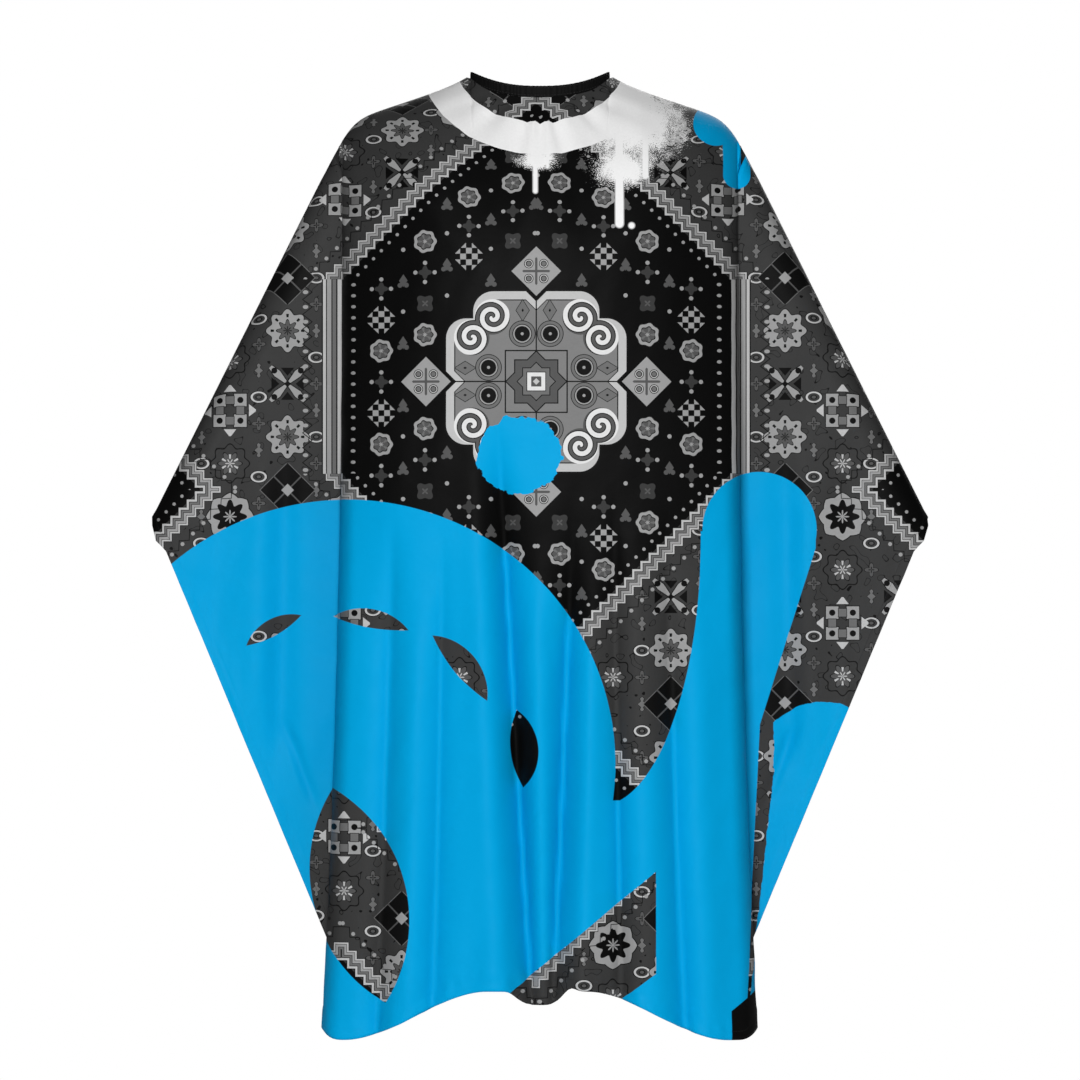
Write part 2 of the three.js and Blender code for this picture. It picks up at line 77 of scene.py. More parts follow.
CAP_SEAT = 0.0071
BACK_HEM = -0.760

CLOTH_T = 0.0007  # thickness shown for the cloth
BACK_PRINT = 10.0  # added to the print's U on the back
CREASE_EDGE = 0.0006  # roundness of the bottom of a crease


# ---- small helpers ----
def smooth(value, low, high):
    t = np.clip((np.asarray(value, float) - low) / (high - low), 0, 1)
    return t * t * (3 - 2 * t)


def mix(a, b, share):
    return a + (b - a) * share


def hump(value, centre, width):
    return np.exp(-(((value - centre) / width) ** 2))


def crease(value, centre, width):
    """Like a hump, but with a sharp middle and long soft sides."""
    return np.exp(-(np.sqrt((value - centre) ** 2 + CREASE_EDGE**2) - CREASE_EDGE) / width)


def fall(distance, length, curve, power):
    rest = np.clip(1 - distance / length, 0, 1)
    return np.clip(1 - rest**curve, 0, 1) ** power


def waves(x, z, scale, seed, count=7):
    """A smooth, irregular field between about -1 and 1 with features about scale metres across."""
    random = np.random.default_rng(seed)
    total = np.zeros(np.broadcast(x, z).shape)
    for _ in range(count):
        angle, size = random.uniform(0, math.pi), random.uniform(0.7, 1.5) * scale
        turn = (x * math.cos(angle) + z * math.sin(angle)) / size
        total += np.sin(2 * math.pi * turn + random.uniform(0, 2 * math.pi))
    return total / math.sqrt(count * 2)


def run_along(points):
    """Distance from a line's first point to each of its points."""
    return np.concatenate([[0], np.cumsum(np.linalg.norm(np.diff(points, axis=0), axis=1))])


def link_object(name, data):
    made = bpy.data.objects.new(name, data)
    bpy.context.scene.collection.objects.link(made)
    return made


# ---- the cape's lines, as in the CAD ----
def band_bottom(angle, power):
    return -0.015 + 0.017 * np.abs(np.sin(angle)) ** power


def ridge_z(x):
    past = 0.008 * np.log1p(np.exp((np.abs(x) - 0.204) / 0.008))
    return 0.004 - 0.32 * (np.abs(x) - NECK_X) - 1.68 * past


CORNER_TOP = float(ridge_z(CORNER_X))
CORNER_BOTTOM = CORNER_TOP - CORNER_DROP
RIDGE = np.stack([np.linspace(0, CORNER_X, 91), ridge_z(np.linspace(0, CORNER_X, 91))], 1)


def ridge_distance(x, z):
    """Distance in the front view from the shoulder and arm line."""
    point = np.stack(np.broadcast_arrays(np.abs(x), z), -1)
    best = np.full(point.shape[:-1], np.inf)
    for start, stop in zip(RIDGE[:-1], RIDGE[1:]):
        along = stop - start
        t = np.clip(((point - start) @ along) / (along @ along), 0, 1)
        best = np.minimum(best, np.linalg.norm(point - start - t[..., None] * along, axis=-1))
    return best


def neck_y(x):
    return NECK_Y * np.sqrt(np.clip(1 - (np.abs(x) / NECK_X) ** 2, 0, 1))


def neck_top(x, power):
    angle = np.arctan2(np.abs(x) / NECK_X, (neck_y(x) + BAND_T / 2) / NECK_Y)
    return np.where(np.abs(x) > NECK_X, ridge_z(x), band_bottom(angle, power) - 0.0004)


def shoulder_power(u):
    return mix(1, 0.6, smooth(np.abs(u), 0.050, 0.110))


def chest_depth(u, z):
    past = np.clip((np.abs(u) - (PANEL - ROLL)) / ROLL, 0, 1)
    depth = 0.150 - 0.048 * (np.abs(u) / PANEL) ** 3 - ROLL_DEPTH * (1 - np.sqrt(1 - past**2))
    return depth * fall(ridge_distance(u, z), 0.250, 2.4, shoulder_power(u))


def back_depth(u, z):
    wing = smooth(np.abs(u), 0.150, 0.250)
    power = mix(shoulder_power(u), 0.5, wing)
    reach = fall(ridge_distance(u, z), mix(0.190, 0.032, wing), mix(2.4, 2, wing), power)
    return mix(0.112, WING_DEPTH, wing) * reach


def wing_depth(x, z):
    return WING_DEPTH * fall(ridge_distance(x, z), 0.032, 2, 0.5)


def neck_draw(depth, u, z, top):
    wanted = neck_y(u) + BAND_T / 2
    past = np.exp(-np.clip(np.abs(u) - NECK_X, 0, 1) / 0.005)
    return (wanted - depth(u, top)) * np.exp((z - top) / 0.035) * np.where(np.abs(u) > NECK_X, 0.0, 1.0) + (
        np.where(np.abs(u) > NECK_X, BAND_T / 2 * past * np.exp((z - top) / 0.035), 0.0)
    )


def fold_x(z):
    return PANEL + 0.021 * (np.clip(-z - 0.150, 0, 2) / 0.860) ** 2.2


def panel_hem(u):
    """The front hem: an arch with a small lobe in its middle and a notch beside it."""
    arch = mix(-0.974, -1.027, smooth(np.abs(u + 0.003), 0.048, 0.188))
    lobe = -0.015 * np.exp(-(((u + 0.001) / 0.0235) ** 4)) + 0.004 * hump(u, 0.030, 0.007)
    corner = 0.012 * np.clip((np.abs(u) - 0.192) / 0.021, 0, 1) ** 2.5
    return arch + lobe + corner


def wing_hem(x):
    x = np.abs(x)
    straight = CORNER_BOTTOM - (CORNER_X - CORNER_IN - x) * HEM_SLOPE
    past = np.clip((x - (CORNER_X - CORNER_IN)) / CORNER_IN, 0, 1)
    return np.where(past > 0, CORNER_TOP - CORNER_DROP * np.sqrt(1 - past**2), straight)


def back_hem(x):
    share = np.clip(np.abs(x) / (CORNER_X - CORNER_IN), 0, 1)
    round_ = CORNER_BOTTOM + (BACK_HEM - CORNER_BOTTOM) * (1 - share**2) ** 0.9
    return np.where(share < 1, round_, wing_hem(x))


def settle(height, first, times=12):
    """The height z at which a column that drifts sideways meets a line."""
    z = first
    for _ in range(times):
        z = height(z)
    return z


# ---- soft folds in the cloth, as metres forward of the plain surface ----
# Each one: centre, width, how far forward, drift of its centre per metre down, where it starts.
PANEL_FOLDS = (
    (-0.047, 0.0140, -0.0380, 0.060, 0.34),
    (-0.070, 0.018, 0.0110, 0.050, 0.34),
    (-0.006, 0.018, 0.0130, 0.020, 0.48),
    (0.036, 0.0125, -0.0330, -0.042, 0.44),
    (0.058, 0.014, 0.0100, -0.040, 0.50),
    (0.078, 0.0100, -0.0200, 0.004, 0.42),
    (0.102, 0.024, 0.0090, 0.012, 0.40),
    (0.134, 0.0120, -0.0190, 0.012, 0.44),
    (0.162, 0.018, 0.0080, 0.004, 0.50),
    (-0.102, 0.0120, -0.0170, -0.006, 0.46),
    (-0.128, 0.018, 0.0080, -0.010, 0.50),
    (-0.156, 0.0120, -0.0180, -0.006, 0.44),
)
WING_FOLDS = (
    (0.268, 0.014, -0.0060, 0.020, 0.36, 0.78),
    (0.292, 0.018, 0.0045, 0.020, 0.36, 0.74),
    (0.330, 0.016, -0.0030, 0.060, 0.30, 0.66),
)
BACK_FOLDS = (
    (0.030, 0.016, 0.0060, 0.02, 0.12),
    (0.056, 0.014, -0.0070, 0.03, 0.10),
    (0.088, 0.018, 0.0070, 0.05, 0.14),
    (0.120, 0.016, -0.0080, 0.07, 0.12),
    (0.152, 0.018, 0.0070, 0.08, 0.16),
    (0.190, 0.018, -0.0070, 0.10, 0.12),
    (0.235, 0.022, 0.0050, 0.10, 0.20),
    (0.290, 0.020, -0.0045, 0.08, 0.24),
)


def panel_folds(x, z):
    total = 0.0006 * waves(x, z / 3, 0.05, 4)
    for centre, width, size, drift, start in PANEL_FOLDS:
        down = np.clip(-z - start, 0, 1)
        grow = 0.75 * smooth(down, 0, 0.20) + 0.25 * smooth(down, 0.15, 0.5)
        shape = crease if size < 0 else hump
        total = total + size * grow * shape(x, centre + drift * down, width * (0.8 + 0.3 * grow))
    return total


def wing_folds(x, z):
    side = np.sign(x)
    total = 0.0010 * waves(x, z / 2, 0.07, 11) * smooth(-z, 0.12, 0.35)
    for centre, width, size, drift, start, stop in WING_FOLDS:
        there = smooth(-z, start, start + 0.12) * (1 - smooth(-z, stop - 0.1, stop))
        total = total + size * there * hump(np.abs(x) + 0.006 * side, centre + drift * (-z - start), width)
    offset = np.abs(x) - 0.268 + 0.35 * (-z - 0.706)
    total = total - 0.0045 * hump(offset, 0, 0.006) * smooth(-z, 0.68, 0.71) * (1 - smooth(-z, 0.75, 0.79))
    return total


def back_folds(x, z):
    total = 0.0012 * waves(x, z / 3, 0.07, 21) * smooth(-z, 0.1, 0.3)
    for centre, width, size, drift, start in BACK_FOLDS:
        down = np.clip(-z - start, 0, 1)
        grow = smooth(down, 0, 0.55)
        for side in (-1, 1):
            total = total + size * grow * hump(side * x, centre + drift * down + 0.004 * side, width)
    return total


# ---- the cloth as a grid of columns that run down from the neck and the shoulders ----
def row_shares():
    top = 0.08 * (np.arange(15) / 14) ** 1.8
    middle = np.linspace(0.08, 0.972, 102)[1:]
    hem = np.linspace(0.972, 1.0, 10)[1:]
    return np.concatenate([top, middle, hem])[:, None]


ROWS = row_shares()
NECK_COLUMNS = 24
SHOULDER_COLUMNS = 40
ROLL_COLUMNS = 7
WING_COLUMNS = 44
TUCK = np.concatenate([np.linspace(0, 0.3, 5)[1:], [0.36, 0.42], np.linspace(0.48, 1, 9)])


def panel_half(side):
    """Points of half of the front panel, from its middle out to its standing fold."""
    neck = NECK_X * np.sin(np.linspace(0, math.pi / 2, NECK_COLUMNS + 1))
    flat = np.linspace(NECK_X, PANEL - ROLL, SHOULDER_COLUMNS - ROLL_COLUMNS + 1)[1:]
    bend = PANEL - ROLL + ROLL * np.sin(np.linspace(0, math.pi / 2, ROLL_COLUMNS + 1)[1:])
    at_top = np.concatenate([neck, flat, bend])
    even = np.concatenate([np.linspace(0, PANEL - ROLL, len(neck) + len(flat)), bend])
    top = neck_top(at_top, FRONT_RISE)
    hem = panel_hem(side * even)
    z = mix(top, hem, ROWS)
    u = mix(at_top, even, smooth(top - z, 0.0, 0.16))
    depth = chest_depth(u, z) + neck_draw(chest_depth, u, z, neck_top(u, FRONT_RISE))
    edge = 1 - smooth(u, PANEL - 1.3 * ROLL, PANEL - 0.3 * ROLL)
    x = side * u * fold_x(z) / PANEL
    y = -depth - panel_folds(side * u, z) * edge * smooth(top - z, 0.02, 0.12)
    y[0][at_top > NECK_X] = 0
    return x, y, z


def tuck(z):
    """The standing fold at each height: how open it is, where it ends, and its radii."""
    fade = smooth(-z, 0.045, 0.125)
    front, behind = chest_depth(PANEL, z), wing_depth(fold_x(z), z)
    gap = np.maximum(front - behind, 0.0045)
    first, second = 0.36 * gap, 0.32 * gap
    overlap = 0.004 + 0.020 * smooth(-z, 0.15, 0.6)
    inner = fold_x(z) - first - overlap
    start = mix(fold_x(z) + 0.017, inner, fade)
    return fade, front, behind, gap, first, second, overlap, start


def tuck_half(side):
    """The cloth behind the front panel's edge: back, inwards, and out again as the wing."""
    k = TUCK[None, :-1]

    def hem_at(z):
        corner = panel_hem(side * PANEL)
        return mix(corner, wing_hem(tuck(z)[-1]), smooth(k, 0.0, 1.0) * 0.6 + 0.4 * k)

    top = settle(lambda z: ridge_z(fold_x(z) + 0.017 * k), np.full_like(k, -0.06))
    hem = settle(hem_at, np.full_like(k, -0.9))
    z = mix(top, hem, ROWS)
    fade, front, _, _, first, second, overlap, _ = tuck(z)
    a = np.clip(k / 0.3, 0, 1) * math.pi / 2
    b = np.clip((k - 0.42) / 0.58, 0, 1) * math.pi
    along = np.clip((k - 0.3) / 0.12, 0, 1)
    x = fold_x(z) - first + first * np.cos(a) - overlap * along - second * np.sin(b)
    y = -front + first * np.sin(a) + second * (1 - np.cos(b))
    flat_x = fold_x(z) + 0.017 * k
    flat_y = -mix(front, wing_depth(flat_x, z), k)
    x, y = mix(flat_x, x, fade), mix(flat_y, y, fade)
    y[0] = 0
    return side * x, y, z


def wing_half(side):
    v = np.linspace(0, 1, WING_COLUMNS + 1)[None, :] ** 0.97

    def across(z):
        return mix(tuck(z)[-1], CORNER_X - 0.0005, v)

    top = settle(lambda z: ridge_z(across(z)), np.full_like(v, -0.2))
    hem = settle(lambda z: wing_hem(across(z)), np.full_like(v, -0.7))
    z = mix(top, hem, ROWS)
    x = across(z)
    fade, front, behind, gap, *_, start = tuck(z)
    push = (gap - (front - behind)) * fade * np.exp(-(((x - start) / 0.03) ** 2))
    free = smooth(ridge_distance(x, z), 0.0, 0.05) * smooth(x - start, 0.0, 0.02)
    y = -wing_depth(x, z) + push - wing_folds(side * x, z) * free
    y[0] = 0
    return side * x, y, z


def front_sheet():
    halves = []
    for side in (-1, 1):
        parts = [panel_half(side), tuck_half(side), wing_half(side)]
        halves.append([np.concatenate(values, 1) for values in zip(*parts)])
    left, right = halves
    return raise_shoulders(*[np.concatenate([a[:, ::-1], b[:, 1:]], 1) for a, b in zip(left, right)])


def back_half(side, front):
    """One half of the back. Its top row past the neck is the front's top row."""
    xs = np.abs(front[0][0])
    shared = np.flatnonzero((xs >= NECK_X + 0.0015) & (np.sign(front[0][0]) == side))
    if side < 0:
        shared = shared[::-1]
    slit = 0.014 if side > 0 else 0.001
    start = math.asin(-slit / NECK_X)
    neck = NECK_X * np.sin(np.linspace(start, math.pi / 2, NECK_COLUMNS + 4))[:-1]
    at_top = np.concatenate([neck, xs[shared]])
    count = len(neck) + SHOULDER_COLUMNS
    even = at_top.copy()
    even[: count + 1] = np.linspace(-slit, at_top[count], count + 1)
    top = neck_top(at_top, NAPE_RISE)
    if side > 0:
        top = top - 0.0016 * (1 - smooth(at_top, 0.008, 0.014))
    z = mix(top, back_hem(even), ROWS)
    u = mix(at_top, even, smooth(top - z, 0.0, 0.12))
    lift = 0.0039 * (1 - smooth(u, 0.012, 0.045)) if side > 0 else 0
    depth = back_depth(u, z) + neck_draw(back_depth, u, z, neck_top(u, NAPE_RISE))
    free = smooth(top - z, 0.02, 0.14) * smooth(ridge_distance(u, z), 0.0, 0.05)
    y = depth + lift + back_folds(side * u, z) * free
    y[0][at_top >= NECK_X - 1e-9] = front[1][0][shared]
    z[0][at_top >= NECK_X - 1e-9] = ridge_z(xs[shared])
    x, y, z = raise_shoulders(side * u, y, z)
    x[0][-len(shared):], z[0][-len(shared):] = front[0][0][shared], front[2][0][shared]
    return x, y, z, shared


def arc_down(x, y, z, settle_row):
    """Print height: length along each column, set equal to z where the cloth hangs straight."""
    step = np.sqrt(np.diff(x, axis=0) ** 2 + np.diff(y, axis=0) ** 2 + np.diff(z, axis=0) ** 2)
    extra = np.concatenate([np.zeros((1, x.shape[1])), np.cumsum(step + np.diff(z, axis=0), 0)])
    return z + (extra[settle_row] - extra) * (1 - smooth(-z, 0.30, 0.42))


def edge_distance(x, z):
    """Distance up from the hem, at right angles to it."""
    hem, across = z[-1], np.gradient(x[-1])
    slope = np.gradient(hem) / np.where(np.abs(across) < 1e-5, 1e-5, across)
    return (z - hem) / np.sqrt(1 + np.clip(slope, -2.4, 2.4) ** 2)


def raise_shoulders(x, y, z):
    """Draws the cloth up beside the band at the sides of the neck."""
    near = smooth(np.abs(x), 0.052, NECK_X) * np.exp(-np.clip(np.abs(x) - NECK_X, 0, 1) / 0.022)
    near = near * np.exp(-ridge_distance(x, z) / 0.018)
    return x + np.sign(x) * 0.0016 * near, y, z + 0.0065 * near


def surface_normals(x, y, z):
    grid = np.stack([x, y, z], -1)
    down = np.gradient(grid, axis=0)
    across = np.gradient(grid, axis=1)
    normal = np.cross(down, across)
    size = np.linalg.norm(normal, axis=-1, keepdims=True)
    return normal / np.maximum(size, 1e-12)


def finish_sheet(x, y, z, facing):
    """Adds the hem's turn-up, its puckers and the gathers at the neck, outwards from the cloth."""
    normal = surface_normals(x, y, z) * facing
    up = edge_distance(x, z)
    along = np.concatenate([[0], np.cumsum(np.hypot(np.diff(x[-1]), np.diff(z[-1])))])[None, :]
    thick = 0.0005 * (1 - smooth(up, 0.0085, 0.0105)) - 0.0004 * hump(up, 0.0092, 0.0009)
    pucker = (
        0.00075 * waves(along, up / 2, 0.016, 31) * hump(up, 0.010, 0.011)
        + 0.0012 * waves(along, up / 3, 0.045, 32) * hump(up, 0.004, 0.020)
    )
    angle = np.arctan2(x, 0.012 - z)
    rho = np.hypot(x, z - 0.012) - 0.050
    near = np.exp(-np.clip(rho, 0, 1) / 0.045) * smooth(rho, -0.03, 0.01)
    pleats = np.abs(np.sin(8.5 * angle + 0.9 * np.sin(5 * angle))) ** 0.8 - 0.6
    small = np.sin(31 * angle + 2 * np.sin(7 * angle))
    gather = near * (0.0065 * pleats + 0.0007 * small) * smooth(z[0][None, :] - z, 0.0, 0.012)
    crumple = 0.00035 * waves(x, z, 0.035, 41, 11)
    move = (thick + pucker + gather + crumple) * smooth(ROWS, 0.0, 0.02)
    points = np.stack([x, y, z], -1) + normal * move[..., None]
    points[0] = np.stack([x, y, z], -1)[0]
    return points, up, along


def grid_faces(index, flip):
    a, b = index[:-1, :-1], index[1:, :-1]
    c, d = index[1:, 1:], index[:-1, 1:]
    return np.stack([a, b, c, d] if flip else [a, d, c, b], -1).reshape(-1, 4)


def build_cloth():
    front = front_sheet()
    points, up, along = finish_sheet(*front, 1)
    rows, columns = points.shape[:2]
    index = np.arange(rows * columns).reshape(rows, columns)
    vertices, faces = [points.reshape(-1, 3)], [grid_faces(index, True)]
    height = arc_down(*front, np.argmin(np.abs(ROWS[:, 0] - 0.35)))
    maps = [corner_maps(index, front[0], height, front[2], up, along, 0.0, (0.0, 0.0, 1.0, 0.58), True)]
    used = rows * columns
    for side in (-1, 1):
        x, y, z, shared = back_half(side, front)
        moved, up, along = finish_sheet(x, y, z, -side)
        size = x.size
        own = np.arange(used, used + size).reshape(x.shape)
        first = x.shape[1] - len(shared)
        own[0, first:] = index[0, shared]
        vertices.append(moved.reshape(-1, 3))
        faces.append(grid_faces(own, side < 0))
        height = arc_down(x, y, z, np.argmin(np.abs(ROWS[:, 0] - 0.5)))
        place = (0.0, 0.6, 0.49, 1.0) if side < 0 else (0.51, 0.6, 1.0, 1.0)
        maps.append(corner_maps(own, x, height, z, up, along, BACK_PRINT, place, side < 0))
        used += size
    mesh = bpy.data.meshes.new("cape_cloth")
    corners = np.concatenate(faces)
    mesh.from_pydata(np.concatenate(vertices).tolist(), [], corners.tolist())
    for i, name in enumerate(("print", "seen", "trim", "OFBake")):
        layer = mesh.uv_layers.new(name=name)
        layer.data.foreach_set("uv", np.concatenate([m[i] for m in maps]).astype(np.float32).ravel())
    cloth = link_object("cape_cloth", mesh)
    mesh.shade_smooth()
    return cloth


def corner_maps(index, x, height, z, up, along, shift, place, flip):
    """The print, seen, trim and baking coordinates of each face corner of a grid."""
    rows, columns = index.shape
    x0, z0, x1, z1 = place
    bake_u = mix(x0 + 0.003, x1 - 0.003, np.linspace(0, 1, columns))[None, :].repeat(rows, 0)
    bake_v = mix(z1 - 0.003, z0 + 0.003, ROWS).repeat(columns, 1)
    fields = (
        (x + shift, height),
        (x + shift, z),
        (along.repeat(rows, 0), up),
        (bake_u, bake_v),
    )
    grid = np.arange(rows * columns).reshape(rows, columns)
    order = grid_faces(grid, flip).ravel()
    return [np.stack([u.ravel()[order], v.ravel()[order]], -1) for u, v in fields]


cloth = build_cloth()
bpy.context.view_layer.objects.active = cloth
thicken = cloth.modifiers.new("thickness", "SOLIDIFY")
thicken.thickness = CLOTH_T
thicken.offset = -1


# ---- the bound neckband, the closure tab and the snaps ----
def nape_frame(x):
    angle = math.asin(x / NECK_X)
    normal = np.array([math.sin(angle) / NECK_X, math.cos(angle) / NECK_Y, 0])
    middle = np.array([NECK_X * math.sin(angle), NECK_Y * math.cos(angle), 0])
    middle[2] = float(band_bottom(angle, NAPE_RISE)) + BAND_H / 2
    return middle, normal / np.linalg.norm(normal)


def add_mesh(name, vertices, faces, body, *nodes, sharp=35):
    mesh = bpy.data.meshes.new(name)
    mesh.from_pydata(np.asarray(vertices).reshape(-1, 3).tolist(), [], [list(map(int, f)) for f in faces])
    made = link_object(name, mesh)
    mesh.shade_smooth()
    mesh.set_sharp_from_angle(angle=math.radians(sharp))
    if body:
        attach(made, body)
    if nodes:
        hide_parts(*nodes)
    return made


def tube_faces(rings, round_):
    """Faces of a row of closed rings, with flat ends."""
    faces = []
    for i in range(rings - 1):
        for j in range(round_):
            a, b = i * round_ + j, i * round_ + (j + 1) % round_
            faces.append((a, b, b + round_, a + round_))
    faces.append(range(round_ - 1, -1, -1))
    faces.append(range((rings - 1) * round_, rings * round_))
    return faces


def pillow(half_width, half_height, count, power=3.2):
    """A rounded oblong outline, for a band's cross-section."""
    t = np.linspace(0, 2 * math.pi, count, endpoint=False)
    c, s = np.cos(t), np.sin(t)
    return np.stack([
        half_width * np.sign(c) * np.abs(c) ** (2 / power),
        half_height * np.sign(s) * np.abs(s) ** (2 / power),
    ], 1)


def band_frame(angle):
    """Middle of the band at an angle round the neck, 0 at the front, and its outward direction."""
    behind = np.abs(angle) > math.pi / 2
    low = np.where(behind, band_bottom(angle, NAPE_RISE), band_bottom(angle, FRONT_RISE))
    middle = np.stack([NECK_X * np.sin(angle), -NECK_Y * np.cos(angle), low + BAND_H / 2], -1)
    normal = np.stack([np.sin(angle) / NECK_X, -np.cos(angle) / NECK_Y, 0 * angle], -1)
    return middle, normal / np.linalg.norm(normal, axis=-1, keepdims=True)


def build_band():
    end = math.asin(0.002 / NECK_X)
    angle = np.linspace(-math.pi + end, math.pi - end, 361)
    middle, normal = band_frame(angle)
    shape = pillow(BAND_T / 2, BAND_H / 2, 28, 4.5)
    # The sewn-in elastic puckers the binding, least at the nape where the studs sit.
    free = smooth(np.abs(np.abs(angle) - math.pi), 0.05, 1.2)
    wobble = 0.00022 * np.sin(95 * angle + 2 * np.sin(17 * angle)) * free
    rings = []
    for m, n, w in zip(middle, normal, wobble):
        out = shape[:, 0] * (1 + w / 0.0011) + np.where(shape[:, 0] > 0, w * 0.6, 0)
        groove = 0.00022 * (hump(shape[:, 1], 0.0041, 0.0006) + hump(shape[:, 1], -0.0041, 0.0006))
        out = out - np.sign(shape[:, 0]) * groove
        rings.append(m + out[:, None] * n + np.stack([0 * out, 0 * out, shape[:, 1] + w * 0.5], 1))
    faces = tube_faces(len(rings), len(shape))
    return add_mesh("neck_binding", rings, faces, "root", "neckband", sharp=50)


def stitch_row(name, line, out, body, length=0.0025, gap=0.0011, radius=0.00022, lift=0.0):
    """A row of thread stitches along a line of points, standing out of the cloth."""
    line, out = np.asarray(line), np.asarray(out)
    run = run_along(line)
    vertices, faces = [], []
    count = int(run[-1] / (length + gap))
    for i in range(count):
        ends = (i + 0.5) * run[-1] / count + np.array([-0.5, -0.32, 0.32, 0.5]) * length
        size = np.array([0.25, 1, 1, 0.25]) * radius
        at = np.stack([np.interp(ends, run, line[:, k]) for k in range(3)], 1)
        up = np.stack([np.interp(ends, run, out[:, k]) for k in range(3)], 1)
        up /= np.linalg.norm(up, axis=1, keepdims=True)
        forward = at[-1] - at[0]
        forward /= np.linalg.norm(forward)
        start = len(vertices)
        for p, u, r in zip(at, up, size):
            side = np.cross(forward, u)
            height = lift + (radius * 0.6 if r == radius else -radius * 0.4)
            for turn in np.arange(6) * math.pi / 3:
                vertices.append(p + u * (height + r * math.sin(turn)) + side * r * 1.15 * math.cos(turn))
        faces += [tuple(start + v for v in f) for f in tube_faces(4, 6)]
    return add_mesh(name, vertices, faces, body, sharp=70)


def band_stitches():
    end = math.asin(0.004 / NECK_X)
    angle = np.linspace(-math.pi + end, math.pi - end, 500)
    middle, normal = band_frame(angle)
    made = []
    for name, level in (("binding_stitching_low", -0.0041), ("binding_stitching_top", 0.0041)):
        line = middle + normal * 0.00098 + np.array([0, 0, level])
        made.append(stitch_row(name, line, normal, "root"))
    return made


def tab_point(x):
    middle, normal = nape_frame(x)
    root = BAND_T / 2 + 0.0003 + TAB_THICKNESS / 2
    out = float(mix(TAB_LEVEL, root, smooth(x, TAB_START - 0.011, TAB_START)))
    return middle + normal * out, normal


def tab_line(count):
    """Middle line of the tab from its root to its tip, with its outward directions."""
    xs = np.linspace(TAB_START, TAB_TIP, count)
    points = np.array([tab_point(x)[0] for x in xs])
    points[:, 2] = nape_frame(0)[0][2]
    along = np.gradient(points, axis=0)
    along /= np.linalg.norm(along, axis=1, keepdims=True)
    out = np.stack([along[:, 1], -along[:, 0], 0 * xs], 1)
    out *= np.sign((out * np.array([0, 1, 0])).sum(1))[:, None]
    return points, out


def build_tab():
    points, out = tab_line(90)
    run = run_along(points)
    rings = []
    for p, n, d in zip(points, out, run):
        # Both ends are rounded, the root about its hinge line and the tip in the tab's own plane.
        tip = np.clip((d - (run[-1] - 0.004)) / 0.004, 0, 1)
        height = mix(TAB_HEIGHT / 2, TAB_HEIGHT / 2 * 0.42, 1 - math.sqrt(max(0, 1 - tip**2)))
        thick = TAB_THICKNESS / 2 * math.sqrt(max(0.05, 1 - (max(0, 1 - d / 0.001)) ** 2))
        shape = pillow(thick * (1 - 0.25 * tip**3), height, 28, 4.5)
        groove = 0.00016 * hump(np.abs(shape[:, 1]), height - 0.0021, 0.0005)
        level = shape[:, 0] - np.sign(shape[:, 0]) * groove
        rings.append(p + level[:, None] * n + np.stack([0 * level, 0 * level, shape[:, 1]], 1))
    faces = tube_faces(len(rings), 28)
    tab = add_mesh("closure_tab", rings, faces, None, sharp=50)
    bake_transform(tab)
    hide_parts("closure_tab_base", "closure_tab_tip")
    return tab


def tab_stitches():
    """Thread round the free end of the tab, and at its root, each on the body that it is sewn to."""
    points, out = tab_line(120)
    run = run_along(points)
    made = []
    for name, body, low, high in (
        ("tab_root_stitching", "closure_tab", 0.0015, 0.0115),
        ("tab_end_stitching", "closure_tab_end", 0.0275, run[-1] - 0.0022),
    ):
        keep = (run > low) & (run < high)
        half = TAB_HEIGHT / 2 - 0.0021
        loop, face = [], []
        for level, order in ((half, 1), (-half, -1)):
            loop.append(points[keep][::order] + out[keep][::order] * 0.00088 + [0, 0, level])
            face.append(out[keep][::order])
        loop.append(loop[0][:1])
        face.append(face[0][:1])
        line, facing = np.concatenate(loop), np.concatenate(face)
        made.append(stitch_row(name, line, facing, body, 0.0019, 0.0008, 0.0002))
    return made


def lathe(name, profile, x, seat, body, node, steps=40):
    """A round piece whose axis points out of the nape at x."""
    middle, normal = nape_frame(x)
    side = np.cross(normal, [0, 0, 1])
    base = middle + normal * seat
    vertices = [base + normal * profile[0][1]]
    for r, h in profile[1:-1]:
        for turn in np.arange(steps) * 2 * math.pi / steps:
            around = side * math.cos(turn) + np.array([0, 0, math.sin(turn)])
            vertices.append(base + normal * h + r * around)
    vertices.append(base + normal * profile[-1][1])
    faces, last = [], len(vertices) - 1
    rings = len(profile) - 2
    for j in range(steps):
        k = (j + 1) % steps
        faces.append((0, 1 + k, 1 + j))
        for i in range(rings - 1):
            a, b = 1 + i * steps + j, 1 + i * steps + k
            faces.append((a, b, b + steps, a + steps))
        faces.append((last, last - steps + j, last - steps + k))
    return add_mesh(name, vertices, faces, body, node, sharp=28)


def mm(*pairs):
    return [(r / 1000, h / 1000) for r, h in pairs]


